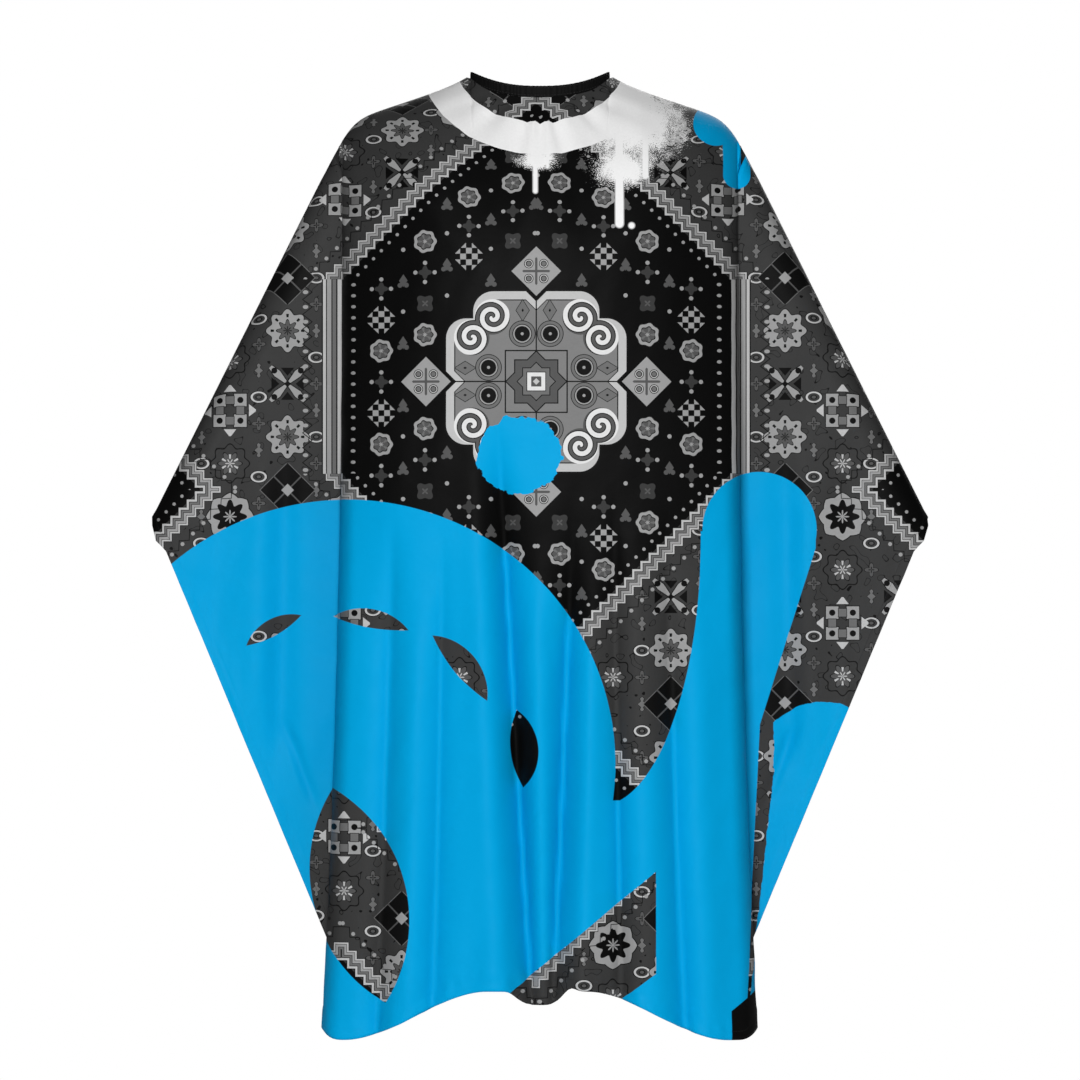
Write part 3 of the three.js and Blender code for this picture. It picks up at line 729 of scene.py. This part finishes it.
# Profiles as radius and height in mm, from the axis out and back to it.
STUD = mm(
    (0, 0), (4.0, 0), (4.2, 0.12), (4.2, 0.5), (4.1, 0.7), (3.9, 0.8), (3.4, 0.8), (3.1, 0.62),
    (1.9, 0.62), (1.6, 0.75), (1.5, 0.95), (1.5, 1.4), (1.75, 1.6), (1.95, 1.8), (1.95, 2.2),
    (1.8, 2.42), (1.5, 2.55), (0.9, 2.6), (0, 2.6),
)
POST = mm(
    (0, -0.9), (3.6, -0.9), (4.0, -0.85), (4.3, -0.68), (4.4, -0.45), (4.4, -0.1), (4.3, 0),
    (0.9, 0), (0.9, 2.65), (0, 2.65),
)
SOCKET = mm(
    (0, 1.65), (2.4, 1.65), (2.5, 1.55), (2.5, 0.1), (2.6, 0), (3.9, 0), (4.2, 0.12), (4.3, 0.35),
    (4.3, 1.5), (4.15, 1.75), (3.9, 1.9), (3.5, 2.0), (0, 2.0),
)
CAP = mm(
    (0, -2.3), (0.9, -2.3), (0.9, 0), (4.65, 0), (4.8, 0.15), (4.8, 0.5), (4.68, 0.8),
    (4.4, 1.02), (3.9, 1.18), (3.2, 1.28), (2.9, 1.22), (1.2, 1.14), (0, 1.12),
)


def build_snaps():
    made = []
    for i, x in enumerate(STUDS, 1):
        made.append(lathe(f"stud_{i}", STUD, x, STUD_SEAT, "root", f"snap_stud_{i}"))
        made.append(lathe(f"post_{i}", POST, x, POST_SEAT, "root", f"snap_post_{i}"))
    for i, stud in enumerate(CLOSED_ON, 1):
        x, body = STUDS[stud], "closure_tab_end"
        made.append(lathe(f"socket_{i}", SOCKET, x, SOCKET_SEAT, body, f"snap_socket_{i}"))
        made.append(lathe(f"cap_{i}", CAP, x, CAP_SEAT, body, f"snap_cap_{i}"))
    return made


binding = build_band()
threads = band_stitches()
tab = build_tab()
threads += tab_stitches()
snaps = build_snaps()

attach(cloth, "root")
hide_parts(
    "cape_front", "cape_left_wing_front", "cape_left_wing_back", "cape_right_wing_front",
    "cape_right_wing_back", "cape_back_left", "cape_back_right",
)


# ---- numbers over the cloth, as shader nodes ----
class Field:
    """A number that varies over the cloth: a node's output, or a plain number."""

    tree = None

    def __init__(self, source):
        self.source = source

    def __add__(self, other):
        return calc("ADD", self, other)

    __radd__ = __add__

    def __sub__(self, other):
        return calc("SUBTRACT", self, other)

    def __rsub__(self, other):
        return calc("SUBTRACT", other, self)

    def __mul__(self, other):
        return calc("MULTIPLY", self, other)

    __rmul__ = __mul__

    def __truediv__(self, other):
        return calc("DIVIDE", self, other)

    def __neg__(self):
        return calc("MULTIPLY", self, -1)

    def __abs__(self):
        return calc("ABSOLUTE", self)

    def __lt__(self, other):
        return calc("LESS_THAN", self, other)

    def __gt__(self, other):
        return calc("GREATER_THAN", self, other)


def plug(socket, value):
    value = value.source if isinstance(value, Field) else value
    if isinstance(value, bpy.types.NodeSocket):
        Field.tree.links.new(value, socket)
    else:
        socket.default_value = value


def calc(kind, *values, clamp=False):
    node = Field.tree.nodes.new("ShaderNodeMath")
    node.operation = kind
    node.use_clamp = clamp
    for socket, value in zip(node.inputs, values):
        plug(socket, value)
    return Field(node.outputs[0])


def low(*values):
    best = values[0]
    for value in values[1:]:
        best = calc("MINIMUM", best, value)
    return best


def high(*values):
    best = values[0]
    for value in values[1:]:
        best = calc("MAXIMUM", best, value)
    return best


def length(a, b):
    return calc("SQRT", calc("MULTIPLY_ADD", a, a, b * b))


def angle_of(a, b):
    return calc("ARCTAN2", b, a)


def cos(value):
    return calc("COSINE", value)


def zigzag(value, half):
    """A triangle wave from 0 to half and back."""
    return calc("PINGPONG", value, half)


def wrap(value, whole):
    return calc("FLOORED_MODULO", value, whole)


def is_near(value, number):
    return calc("COMPARE", value, number, 0.25)


def paint(base, share, value):
    node = Field.tree.nodes.new("ShaderNodeMix")
    plug(node.inputs[0], share)
    plug(node.inputs[2], base)
    plug(node.inputs[3], value)
    return Field(node.outputs[0])


def bands(value, scale, *stops):
    """Grey and cover by distance: each stop is (where it starts, grey or None for nothing).

    A distance below 0 counts as 0.
    """
    node = Field.tree.nodes.new("ShaderNodeValToRGB")
    ramp = node.color_ramp
    ramp.interpolation = "CONSTANT"
    while len(ramp.elements) < len(stops):
        ramp.elements.new(0.5)
    for element, (start, _) in zip(ramp.elements, stops):
        element.position = start / scale
    for element, (_, grey) in zip(ramp.elements, stops):
        element.color = (grey or 0,) * 3 + (0.0 if grey is None else 1.0,)
    plug(node.inputs[0], value / scale)
    return Field(node.outputs[0]), Field(node.outputs[1])


def noise(vector, scale, detail=0.0, rough=0.5):
    node = Field.tree.nodes.new("ShaderNodeTexNoise")
    node.inputs["Scale"].default_value = scale
    node.inputs["Detail"].default_value = detail
    node.inputs["Roughness"].default_value = rough
    Field.tree.links.new(vector, node.inputs["Vector"])
    return Field(node.outputs[0])


def uv_parts(name):
    node = Field.tree.nodes.new("ShaderNodeUVMap")
    node.uv_map = name
    split = Field.tree.nodes.new("ShaderNodeSeparateXYZ")
    Field.tree.links.new(node.outputs[0], split.inputs[0])
    return node.outputs[0], Field(split.outputs[0]), Field(split.outputs[1])


INK = 0.0045
FIELD_BLACK = 0.003
CHARCOAL = 0.036
DARK = 0.075
MID = 0.125
GREY = 0.27
PALE = 0.42
LIGHT = 0.60

HEX_MIDDLE = -315.0
HEX_HALF = 105.0
HEX_SIDE = 209.0
MEDALLION_Z = -322.0
PENDANT_OUT = 117.0  # from the medallion's middle to the place kept for each pendant
DIAMONDS = ((440.0, -437.0, 78.0), (0.0, -800.0, 150.0), (209.0, -1062.0, 122.0))


def hexagon_rise(z):
    """How far a height lies past the six-sided field's upright sides."""
    return high(abs(z - HEX_MIDDLE) - HEX_HALF, 0.0)


def field_edge(a, z):
    """Distance outside the black fields in mm, the way along their edge, and if that edge slants."""
    v = hexagon_rise(z)
    best, along, slanted = a + v - HEX_SIDE, a - v, v > 0.01
    for x0, z0, half in DIAMONDS:
        u, w = abs(a - x0), abs(z - z0)
        d = u + w - half
        nearer = d < best
        along = paint(along, nearer, u - w)
        slanted = high(slanted, nearer)
        best = low(best, d)
    return best / math.sqrt(2), along / math.sqrt(2), slanted


def far_from_fields(a, z, extra):
    best = a + hexagon_rise(z) - HEX_SIDE
    for x0, z0, half in DIAMONDS:
        best = low(best, abs(a - x0) + abs(z - z0) - half)
    return best > extra


def cells(a, z, a0, z0, wide, tall, stagger=0.5):
    """Staggered cells: each point's place in its cell in mm, and the cell's column and row."""
    column = calc("FLOOR", (a - a0) / wide + 0.5)
    shift = wrap(column, 2.0) * (stagger * tall)
    row = calc("FLOOR", (z - z0 + shift) / tall + 0.5)
    centre_a = column * wide + a0
    centre_z = row * tall + z0 - shift
    return a - centre_a, z - centre_z, column, row, centre_a, centre_z


def outer_motifs(g, a, z):
    """Rosettes, stars, crosses and diamonds over the charcoal ground."""
    x, y, column, row, ca, cz = cells(a, z, 268.0, -208.4, 62.0, 57.3)
    x, y = x / 1.24, y / 1.24
    ax, ay = abs(x), abs(y)
    r, th = length(x, y), angle_of(x, y)
    c8, c6 = cos(th * 8.0), cos(th * 6.0)
    odd = wrap(column, 2.0)
    kind = wrap(column * 2.0 - row, 4.0) + odd * 4.0
    free = far_from_fields(ca, cz, 38.0)

    # Ring rosette with a dot in each lobe.
    rosette, there = bands(
        r - c8 * 2.0, 24.0, (0, INK), (2, DARK), (7.2, INK), (8.1, GREY), (16.6, INK), (17.5, None)
    )
    dots = (abs(r - 13.2) < 1.5) * (c8 > 0.80)
    rosette = paint(rosette, dots, INK)
    use = free * high(is_near(kind, 1.0), is_near(kind, 3.0)) * there
    g = paint(g, use, rosette)

    # Black diamond of four petals round a pale middle.
    spread = ax + ay
    diamond, there = bands(spread, 30.0, (0, GREY), (5.5, INK), (23.5, MID), (24.3, None))
    diamond = paint(diamond, (abs(ax - ay) < 0.9) * (spread > 5.5), DARK)
    g = paint(g, free * is_near(kind, 0.0) * there, diamond)

    # Cross of four arrows.
    between = abs(ax - ay)
    arrow = between - (abs(r - 13.0) * -0.28 + 4.6)
    cross, there = bands(arrow + 10.0, 24.0, (0, GREY), (10, INK), (11, None))
    cross = paint(cross, length(ax - 11.5, ay - 11.5) < 2.6, INK)
    cross = paint(cross, low(ax, ay) + r < 3.4, INK)
    g = paint(g, free * is_near(kind, 2.0) * there * (r < 21.0), cross)
    wedge = (high(ax, ay) - low(ax, ay) * 1.2 > 7.0) * (high(ax, ay) < 14.0)
    g = paint(g, free * is_near(kind, 2.0) * wedge, FIELD_BLACK)

    # Four rings set round a cross.
    ring, there = bands(high(abs(ax - 9.0), abs(ay - 9.0)), 12.0, (0, GREY), (5.4, INK), (6.1, None))
    ring = paint(ring, length(ax - 9.0, ay - 9.0) < 2.7, INK)
    beside = low(high(ax, abs(ay - 9.0)), high(ay, abs(ax - 9.0)))
    tile, filled = bands(beside, 12.0, (0, MID), (3.4, INK), (3.9, None))
    tip = high(abs(high(ax, ay) - 19.5) - 3.0, low(ax, ay) * 1.3 - 23.5 + high(ax, ay)) < 0.0
    use = free * is_near(kind, 4.0)
    g = paint(g, use * there, ring)
    g = paint(g, use * filled, tile)
    g = paint(g, use * tip, PALE)

    # Star flower inside a dark wavy line.
    line, there = bands(r - c8 * 1.6, 24.0, (0, CHARCOAL), (14.8, INK), (15.9, None))
    star, inside = bands(r - c6 * 2.8, 24.0, (0, PALE), (1.4, DARK), (7.4, INK), (8.3, None))
    rays = (c6 < -0.72) * (abs(r - 6.0) < 1.9)
    star = paint(star, rays, PALE)
    inside = high(inside, rays)
    use = free * high(is_near(kind, 5.0), is_near(kind, 7.0))
    g = paint(g, use * there, paint(line, inside, star))

    # Pale jagged rosette with black petals.
    ground, there = bands(r + zigzag(th, math.pi / 8) * 8.0, 28.0, (0, GREY), (20.6, INK), (21.5, None))
    petal, inside = bands(r - c8 * 2.6, 24.0, (0, GREY), (3.2, FIELD_BLACK), (12.2, None))
    use = free * is_near(kind, 6.0) * there
    g = paint(g, use, paint(ground, inside, petal))
    return g


def small_motifs(g, a, z):
    """Little flowers, ovals and dots between the big ones."""
    x, y, column, row, ca, cz = cells(a, z, 299.0, -208.4 + 14.3, 62.0, 28.65)
    r, th = length(x, y), angle_of(x, y)
    free = far_from_fields(ca, cz, 26.0)
    kind = wrap(row + column * 2.0, 3.0)
    clover, there = bands(r - cos(th * 4.0) * 2.2, 14.0, (0, INK), (1.1, DARK), (5.0, INK), (5.8, None))
    g = paint(g, free * is_near(kind, 0.0) * there, clover)
    oval, there = bands(
        length(x / 1.45, y), 10.0,
        (0, DARK), (1.6, INK), (2.5, CHARCOAL), (4.4, PALE), (6.0, INK), (6.7, None),
    )
    g = paint(g, free * is_near(kind, 1.0) * there, oval)
    jagged = abs(x) + abs(y) * 0.42 + zigzag(y, 3.0) * 0.75
    leaf, there = bands(jagged, 10.0, (0, MID), (4.6, INK), (5.3, None))
    g = paint(g, free * is_near(kind, 2.0) * there, leaf)
    return g


def field_room(ca, cz, rim, beside, corner, pendant):
    """Where a motif's middle clears the field's edge, the medallion and its pendants by so many mm."""
    dz = abs(cz - MEDALLION_Z)
    inside = ca + hexagon_rise(cz) < HEX_SIDE - rim
    clear = high(high(ca, dz) > beside, ca + dz > corner)
    nearest = low(length(ca - PENDANT_OUT, dz), length(ca, dz - PENDANT_OUT))
    return inside * clear * (nearest > pendant)


def field_motifs(g, a, z, inner):
    """Rosettes and four-dot flowers over the black field."""
    x, y, column, row, ca, cz = cells(a, z, 166.0, MEDALLION_Z, 47.0, 33.5)
    x, y = x / 1.2, y / 1.2
    ax, ay = abs(x), abs(y)
    r, th = length(x, y), angle_of(x, y)
    free = field_room(ca, cz, 24.0, 116.0, 176.0, 36.0) * inner
    kind = wrap(row + column, 3.0)
    flower, there = bands(r - cos(th * 4.0) * 1.2, 12.0, (0, CHARCOAL), (4.8, FIELD_BLACK), (5.4, None))
    dots = length(high(ax, ay) - 8.6, low(ax, ay)) < 1.9
    use = free * is_near(kind, 0.0)
    g = paint(g, use * there, flower)
    g = paint(g, use * dots, GREY)
    ring, there = bands(
        r + cos(th * 7.0) * 0.6, 14.0, (0, GREY), (1.5, DARK), (6.2, INK), (7.1, GREY), (10.0, None)
    )
    ring = paint(ring, (cos(th * 5.0) > 0.55) * (r > 2.5) * (r < 6.4), MID)
    g = paint(g, free * is_near(kind, 1.0) * there, ring)
    check = is_near(wrap(calc("FLOOR", ax / 5.2 + 0.5) + calc("FLOOR", ay / 5.2 + 0.5), 2.0), 1.0)
    block = (ax + ay < 15.0) * check * (high(ax, ay) < 13.0)
    blob, there = bands(r - cos(th * 4.0 + 3.14) * 1.4, 12.0, (0, DARK), (2.0, CHARCOAL), (7.4, None))
    third = free * is_near(kind, 2.0)
    wide = wrap(column, 2.0)
    g = paint(g, third * wide * there, blob)
    g = paint(g, third * (1.0 - wide) * block, GREY)
    # Faint leaves and single dots between them.
    x, y, column, row, ca, cz = cells(a, z, 142.5, MEDALLION_Z + 8.4, 47.0, 33.5)
    free = field_room(ca, cz, 20.0, 106.0, 160.0, 34.0) * inner
    odd = wrap(row + column, 2.0)
    leaf = low(abs(x) * 1.5 + abs(y) - 7.0, length(abs(x) - 3.6, y + 5.0) - 2.6) < 0.0
    g = paint(g, free * odd * leaf, DARK)
    g = paint(g, free * (1.0 - odd) * (length(x, y) < 2.3), GREY)
    return g


def medallion(g, a, z):
    """An eight-sided medallion with scrolls, eyes and a star in its middle, and four pendants."""
    dz = abs(z - MEDALLION_Z)
    p, q = high(a, dz), low(a, dz)
    shape = length(high(p - 75.0, 0.0), high(q - 46.0, 0.0)) - 22.0
    shape = high(shape, 13.0 - abs(p - 99.0) - q)
    body, there = bands(shape + 40.0, 60.0, (0, 0.17), (29.5, INK), (30.5, PALE), (39.2, INK), (41.4, None))
    # Scroll.
    sx, sy = p - 69.0, q - 47.0
    rs = length(sx, sy)
    turn = wrap(rs / 10.5 - angle_of(sx, sy) / (2 * math.pi), 1.0)
    scroll, curled = bands(turn, 1.0, (0, INK), (0.10, DARK), (0.42, INK), (0.52, LIGHT))
    body = paint(body, (rs < 19.0) * curled, scroll)
    # Eyes and leaves beside the middle lines.
    eye, round_ = bands(
        length(p - 51.0, q - 15.0), 20.0,
        (0, GREY), (1.6, INK), (8.2, GREY), (9.6, INK), (10.4, MID), (13.4, INK), (14.2, None),
    )
    body = paint(body, round_, eye)
    leaf = abs(q - 14.5) * 1.6 + abs(p - 76.0)
    leaf, pointed = bands(leaf, 20.0, (0, INK), (2.0, MID), (11.0, INK), (12.2, None))
    body = paint(body, pointed * (1.0 - round_), leaf)
    body = paint(body, high(q < 0.7, abs(p - 33.0) < 0.7), INK)
    # Middle star and its squares.
    star = low(p, (p + q) / math.sqrt(2))
    star, eight = bands(star, 30.0, (0, MID), (14.0, INK), (15.0, DARK), (22.5, INK), (23.6, None))
    body = paint(body, eight, star)
    square, four = bands(p, 14.0, (0, DARK), (5.4, LIGHT), (9.6, INK), (10.4, None))
    body = paint(body, four, square)
    body = paint(body, p + q < 3.6, PALE)
    g = paint(g, there, body)
    # Pendants.
    u = abs(p - 118.0)
    pendant, there = bands(u + q, 34.0, (0, GREY), (26.5, FIELD_BLACK), (29.0, None))
    pendant = paint(pendant, (low(u, q) < 1.3) * (u + q < 15.0), DARK)
    loop, ringed = bands(
        length(u - 8.0, q - 8.0), 8.0, (0, MID), (2.4, INK), (3.3, PALE), (4.2, INK), (5.0, None)
    )
    pendant = paint(pendant, ringed, loop)
    g = paint(g, there * (shape > 2.0), pendant)
    return g


def carpet():
    """The printed ground: grey over the whole cloth, without the paint."""
    vector, u, v = uv_parts("print")
    back = u > 5.0
    a = abs((u - back * BACK_PRINT) * 1000.0 + 4.0)
    z = v * 1000.0
    edge, along, slanted = field_edge(a, z)
    vines = abs(noise(vector, 95.0) - 0.66) < 0.014
    g = paint(CHARCOAL, vines * (edge > 18.0), INK)
    g = small_motifs(g, a, z)
    g = outer_motifs(g, a, z)
    inside = edge < 0.0
    g = paint(g, inside, FIELD_BLACK)
    g = field_motifs(g, a, z, inside)
    way = paint(z, slanted, along)
    beads = length(edge + 9.0, zigzag(way, 6.0)) < 1.8
    outer_beads = length(edge - 28.0, zigzag(way, 8.0)) < 2.1
    wavy = abs(edge - 23.0 - zigzag(way, 8.0) * 0.9) < 0.55
    g = paint(g, high(beads, outer_beads), GREY)
    g = paint(g, wavy, INK)
    step = (zigzag(along, 6.2) - 3.1) * slanted
    rim, there = bands(
        edge - step + 2.0, 24.0,
        (0, None), (1.2, FIELD_BLACK), (2.4, PALE), (5.6, INK), (6.6, MID), (9.4, INK),
        (10.3, GREY), (13.6, INK), (14.4, PALE), (16.6, INK), (17.6, None),
    )
    g = paint(g, there, rim)
    return medallion(g, a, z)


WHITE = 0.765
# Runs of white paint in mm: middle, half the width, top and bottom.
RUNS = (
    (85.0, 4.6, -45.0, -153.0),
    (-5.0, 2.6, -60.0, -118.0),
    (113.0, 3.6, -25.0, -101.0),
    (8.0, 2.0, -60.0, -92.0),
)
CYAN = (0.0, 0.300, 0.597)


def soft_edge(value, width):
    """1 inside, where value is below 0, and 0 outside, with an edge that wide."""
    return calc("MULTIPLY_ADD", value, -1.0 / width, 0.5, clamp=True)


def neck_ring(vector, x, z, front):
    """White paint round the neck, with spray and runs on the front."""
    inner = length(x / 92.0, (z - 27.0) / 70.0)
    outer = length(x / 130.0, (z - 30.0) / 108.0)
    ring = (outer < 1.0) * (inner > 1.0)
    fine, clouds = noise(vector, 900.0), noise(vector, 75.0, 3.0, 0.6)
    haze = low(length((x - 102.0) / 66.0, (z + 40.0) / 58.0), length((x - 88.0) / 36.0, (z + 92.0) / 26.0))
    haze = low(haze, length((x + 2.0) / 26.0, (z + 84.0) / 14.0))
    speckle = (clouds - 0.5) * 0.9 + (fine - 0.5) * 0.9
    spray = calc("MULTIPLY_ADD", (1.0 - haze) + speckle, 3.0, -0.35, clamp=True)
    cover = high(ring, spray * (inner > 1.0) * front)
    drips = length(x - 98.0, z + 155.0) - 3.4
    for middle, half, top, bottom in RUNS:
        along = calc("MINIMUM", calc("MAXIMUM", z, bottom), top)
        drips = low(drips, length(x - middle, z - along) - half)
    return high(cover, soft_edge(drips, 2.0) * front)


# Strokes in the pour: the angle and distance from its middle, half the length and half the width.
STROKES = (
    (119.0, 166.0, 34.0, 9.0),
    (80.0, 158.0, 42.0, 10.0),
    (40.0, 166.0, 46.0, 13.0),
    (5.0, 192.0, 42.0, 15.0),
)
ARCH_X = -208.0  # middle and radius of the big rounded pour, in mm
ARCH_Z = -731.0
ARCH_RADIUS = 283.0


def leaf_shape(along, across, half, thick):
    """Below 0 inside a leaf with two pointed ends."""
    radius = (half * half + thick * thick) / (2 * thick)
    return length(abs(across) + (radius - thick), along) - radius


def pour(vector, x, z):
    """Where the cyan paint covers the front: a big rounded pour, a rising column and some drops."""
    rough = (noise(vector, 70.0, 3.0) - 0.5) * 17.0
    arch = length((x - ARCH_X) / 1.02, z - ARCH_Z) - ARCH_RADIUS
    # Right of a curve that runs down and in from the column to the end of the arch.
    t = calc("MULTIPLY_ADD", z, -1.0 / 286.0, -491.0 / 286.0, clamp=True)
    left = calc("MULTIPLY_ADD", calc("SQRT", calc("MULTIPLY_ADD", -t, t, 1.0)), 111.0, 61.0)
    t = calc("MULTIPLY_ADD", z, -1.0 / 190.0, -500.0 / 190.0, clamp=True)
    right = calc("MULTIPLY_ADD", t, -60.0, 297.0) - high(-z - 690.0, 0.0) * 0.05
    column = high(left - x, x - right, z + 482.0)
    column = low(column, length(x - 236.0, z + 480.0) - 62.0)
    body = high(z + 770.0, abs(x + 60.0) - 300.0)
    paint_ = low(arch, column, high(body, x - right))
    patch = high(length(x - 305.0, z + 740.0) - 74.0, 252.0 - x)
    tail = high(z + 740.0, (252.0 - x) + (z + 740.0) * 0.11)
    paint_ = low(paint_, low(patch, high(tail, z + 740.0)) + rough * 0.3)
    # Leaf-shaped gaps that show the print: a long tilted one, and strokes along the big pour.
    ax, az = x + 194.0, z + 872.0
    paint_ = high(paint_, -leaf_shape(az * 0.97 - ax * 0.24, ax * 0.97 + az * 0.24, 118.0, 51.0))
    rho, phi = length(x - ARCH_X, z - ARCH_Z), angle_of(x - ARCH_X, z - ARCH_Z)
    for turn, out, half, thick in STROKES:
        paint_ = high(paint_, -leaf_shape((phi - math.radians(turn)) * out, rho - out, half, thick))
    # A sail-shaped gap at the hem.
    inward = 124.0 - x
    sail = high(-inward, inward * 0.83 + (z + 846.0), -(z + 955.0) - inward * 0.75)
    paint_ = high(paint_, -sail)
    blob = length((x + 22.0) / 1.08, z + 401.0) - 42.0 + rough
    drop = low(length(x - 189.0, z + 43.0) - 24.0, high(abs(x - 212.0) - 15.0, abs(z + 66.0) - 32.0))
    drop = low(drop, length(x - 212.0, z + 98.0) - 15.0)
    paint_ = low(paint_, blob, drop)
    corner = high(205.0 - x, z + 996.0 - (x - 205.0) * 0.8)
    paint_ = high(paint_, -corner)
    return soft_edge(paint_, 0.8)


HEM_WIDTH = 9.2  # from the hem up to its thread, in mm
THREAD = 0.02


def hem_thread(along, up):
    """The row of thread that holds the hem's turn-up, as short stitches."""
    stitch = zigzag(along * 1000.0, 1.6) > 0.35
    return stitch * (abs(up * 1000.0 - HEM_WIDTH) < 0.28)


def back_pour(x, z):
    wave = z + 500.0 + cos(x / 46.0) * 26.0 + cos(x / 21.0 + 1.0) * 9.0
    drops = wave
    for middle, half, bottom in ((-150.0, 11.0, -432.0), (96.0, 9.0, -405.0), (222.0, 8.0, -440.0)):
        along = calc("MINIMUM", z, bottom)
        drops = low(drops, length(x - middle, z - along) - half)
    return soft_edge(drops, 0.8)


def fresh(name):
    material = bpy.data.materials.new(name)
    material.use_nodes = True
    Field.tree = material.node_tree
    return material, Field.tree.nodes["Principled BSDF"]


def bump_from(shader, height, distance, strength=1.0, under=None):
    node = Field.tree.nodes.new("ShaderNodeBump")
    node.inputs["Strength"].default_value = strength
    node.inputs["Distance"].default_value = distance
    plug(node.inputs["Height"], height)
    if under:
        Field.tree.links.new(under.outputs[0], node.inputs["Normal"])
    Field.tree.links.new(node.outputs[0], shader.inputs["Normal"])
    return node


def grey_colour(tone):
    """A colour with the same number in red, green and blue."""
    node = Field.tree.nodes.new("ShaderNodeCombineColor")
    for socket in node.inputs:
        plug(socket, tone)
    return node.outputs[0]


def cloth_material():
    material, shader = fresh("printed_satin")
    grey = carpet()
    vector, u, v = uv_parts("seen")
    back = u > 5.0
    x, z = (u - back * BACK_PRINT) * 1000.0, v * 1000.0
    white = neck_ring(vector, x, z, 1.0 - back)
    grey = paint(grey, white, WHITE)
    cyan = paint(pour(vector, x, z), back, back_pour(x, z))
    fibres = noise(vector, 420.0, 2.0)
    _, along, up = uv_parts("trim")
    thread = hem_thread(along, up)
    grey = grey * ((fibres - 0.5) * 0.10 + 1.0)
    grey = paint(grey, thread * 0.5, THREAD)
    blend = Field.tree.nodes.new("ShaderNodeMix")
    blend.data_type = "RGBA"
    plug(blend.inputs[0], cyan)
    Field.tree.links.new(grey_colour(grey), blend.inputs[6])
    blend.inputs[7].default_value = (*CYAN, 1)
    Field.tree.links.new(blend.outputs[2], shader.inputs["Base Color"])
    plug(shader.inputs["Roughness"], (fibres - 0.5) * 0.08 + 0.50)
    shader.inputs["Specular IOR Level"].default_value = 0.035
    weave = zigzag((u + v) * 1000.0, 0.35) * 1.4 + thread * 3.0
    first = bump_from(shader, noise(vector, 26.0, 3.0), 0.0025, 0.35)
    bump_from(shader, weave, 0.0001, 0.3, first)
    return material


def woven_material(name, grey, rough, pitch, depth):
    """A dark woven or twisted textile in object space."""
    material, shader = fresh(name)
    place = Field.tree.nodes.new("ShaderNodeTexCoord").outputs["Object"]
    split = Field.tree.nodes.new("ShaderNodeSeparateXYZ")
    Field.tree.links.new(place, split.inputs[0])
    x, y, z = (Field(o) for o in split.outputs)
    ribs = zigzag((x + y) * 1000.0, pitch) * zigzag(z * 1000.0, pitch * 0.8)
    mottle = noise(place, 380.0, 3.0)
    tone = (mottle * 0.7 + 0.65) * grey
    Field.tree.links.new(grey_colour(tone), shader.inputs["Base Color"])
    plug(shader.inputs["Roughness"], mottle * 0.15 + rough)
    shader.inputs["Specular IOR Level"].default_value = 0.08
    bump_from(shader, ribs, depth, 0.5)
    return material


def resin_material():
    material, shader = fresh("moulded_resin")
    place = Field.tree.nodes.new("ShaderNodeTexCoord").outputs["Object"]
    mottle = noise(place, 900.0, 2.0)
    tone = mottle * 0.010 + 0.007
    Field.tree.links.new(grey_colour(tone), shader.inputs["Base Color"])
    plug(shader.inputs["Roughness"], mottle * 0.12 + 0.22)
    bump_from(shader, noise(place, 2600.0, 1.0), 0.00003, 0.4)
    return material


def give(material, slot, *objects):
    for o in objects:
        o.data.materials.clear()
        o.data.materials.append(material)


give(cloth_material(), "cape_cloth", cloth)
give(woven_material("binding_weave", 0.003, 0.62, 0.45, 0.0002), "binding", binding, tab)
give(woven_material("black_thread", 0.020, 0.50, 0.2, 0.0001), "binding", *threads)
give(resin_material(), "snap_plastic", *snaps)


# ---- stage ----
def build_stage():
    mesh = bpy.data.meshes.new("floor")
    ring = [(1.9 * math.cos(t), 1.9 * math.sin(t), -1.17) for t in np.linspace(0, 2 * math.pi, 97)[:-1]]
    mesh.from_pydata(ring, [], [range(96)])
    floor = link_object("floor", mesh)
    material, shader = fresh("pale_floor")
    shader.inputs["Base Color"].default_value = (0.92, 0.92, 0.92, 1)
    shader.inputs["Roughness"].default_value = 0.9
    mesh.materials.append(material)
    world = bpy.data.worlds.new("studio")
    bpy.context.scene.world = world
    world.use_nodes = True
    Field.tree = world.node_tree
    background = world.node_tree.nodes["Background"]
    background.inputs[0].default_value = (1, 1, 1, 1)
    seen = Field(Field.tree.nodes.new("ShaderNodeLightPath").outputs["Is Camera Ray"])
    plug(background.inputs[1], seen * 0.93 + 0.07)


def area_light(name, place, aim, width, height, power):
    light = bpy.data.lights.new(name, "AREA")
    light.shape = "RECTANGLE"
    light.size, light.size_y, light.energy = width, height, power
    holder = link_object(name, light)
    holder.location = place
    direction = np.array(aim) - np.array(place)
    holder.rotation_euler = Vector(direction.tolist()).to_track_quat("-Z", "Y").to_euler()


def build_camera():
    data = bpy.data.cameras.new("camera")
    camera = link_object("camera", data)
    distance, across, middle = 14.0, 1.1664, -0.4914
    data.sensor_width = 36
    data.lens = 36 * distance / across
    camera.location = (0, -distance, middle)
    camera.rotation_euler = (math.pi / 2, 0, 0)
    data.clip_end = 100
    bpy.context.scene.camera = camera


build_stage()
area_light("key", (-0.30, -3.6, 0.5), (0, 0, -0.5), 0.9, 0.9, 126)
area_light("fill", (1.8, -2.8, 0.2), (0, 0, -0.5), 1.6, 1.6, 14)
area_light("rear", (0.6, 3.2, 1.2), (0, 0, -0.4), 2.2, 2.2, 70)
build_camera()
bpy.context.scene.view_settings.view_transform = "Standard"
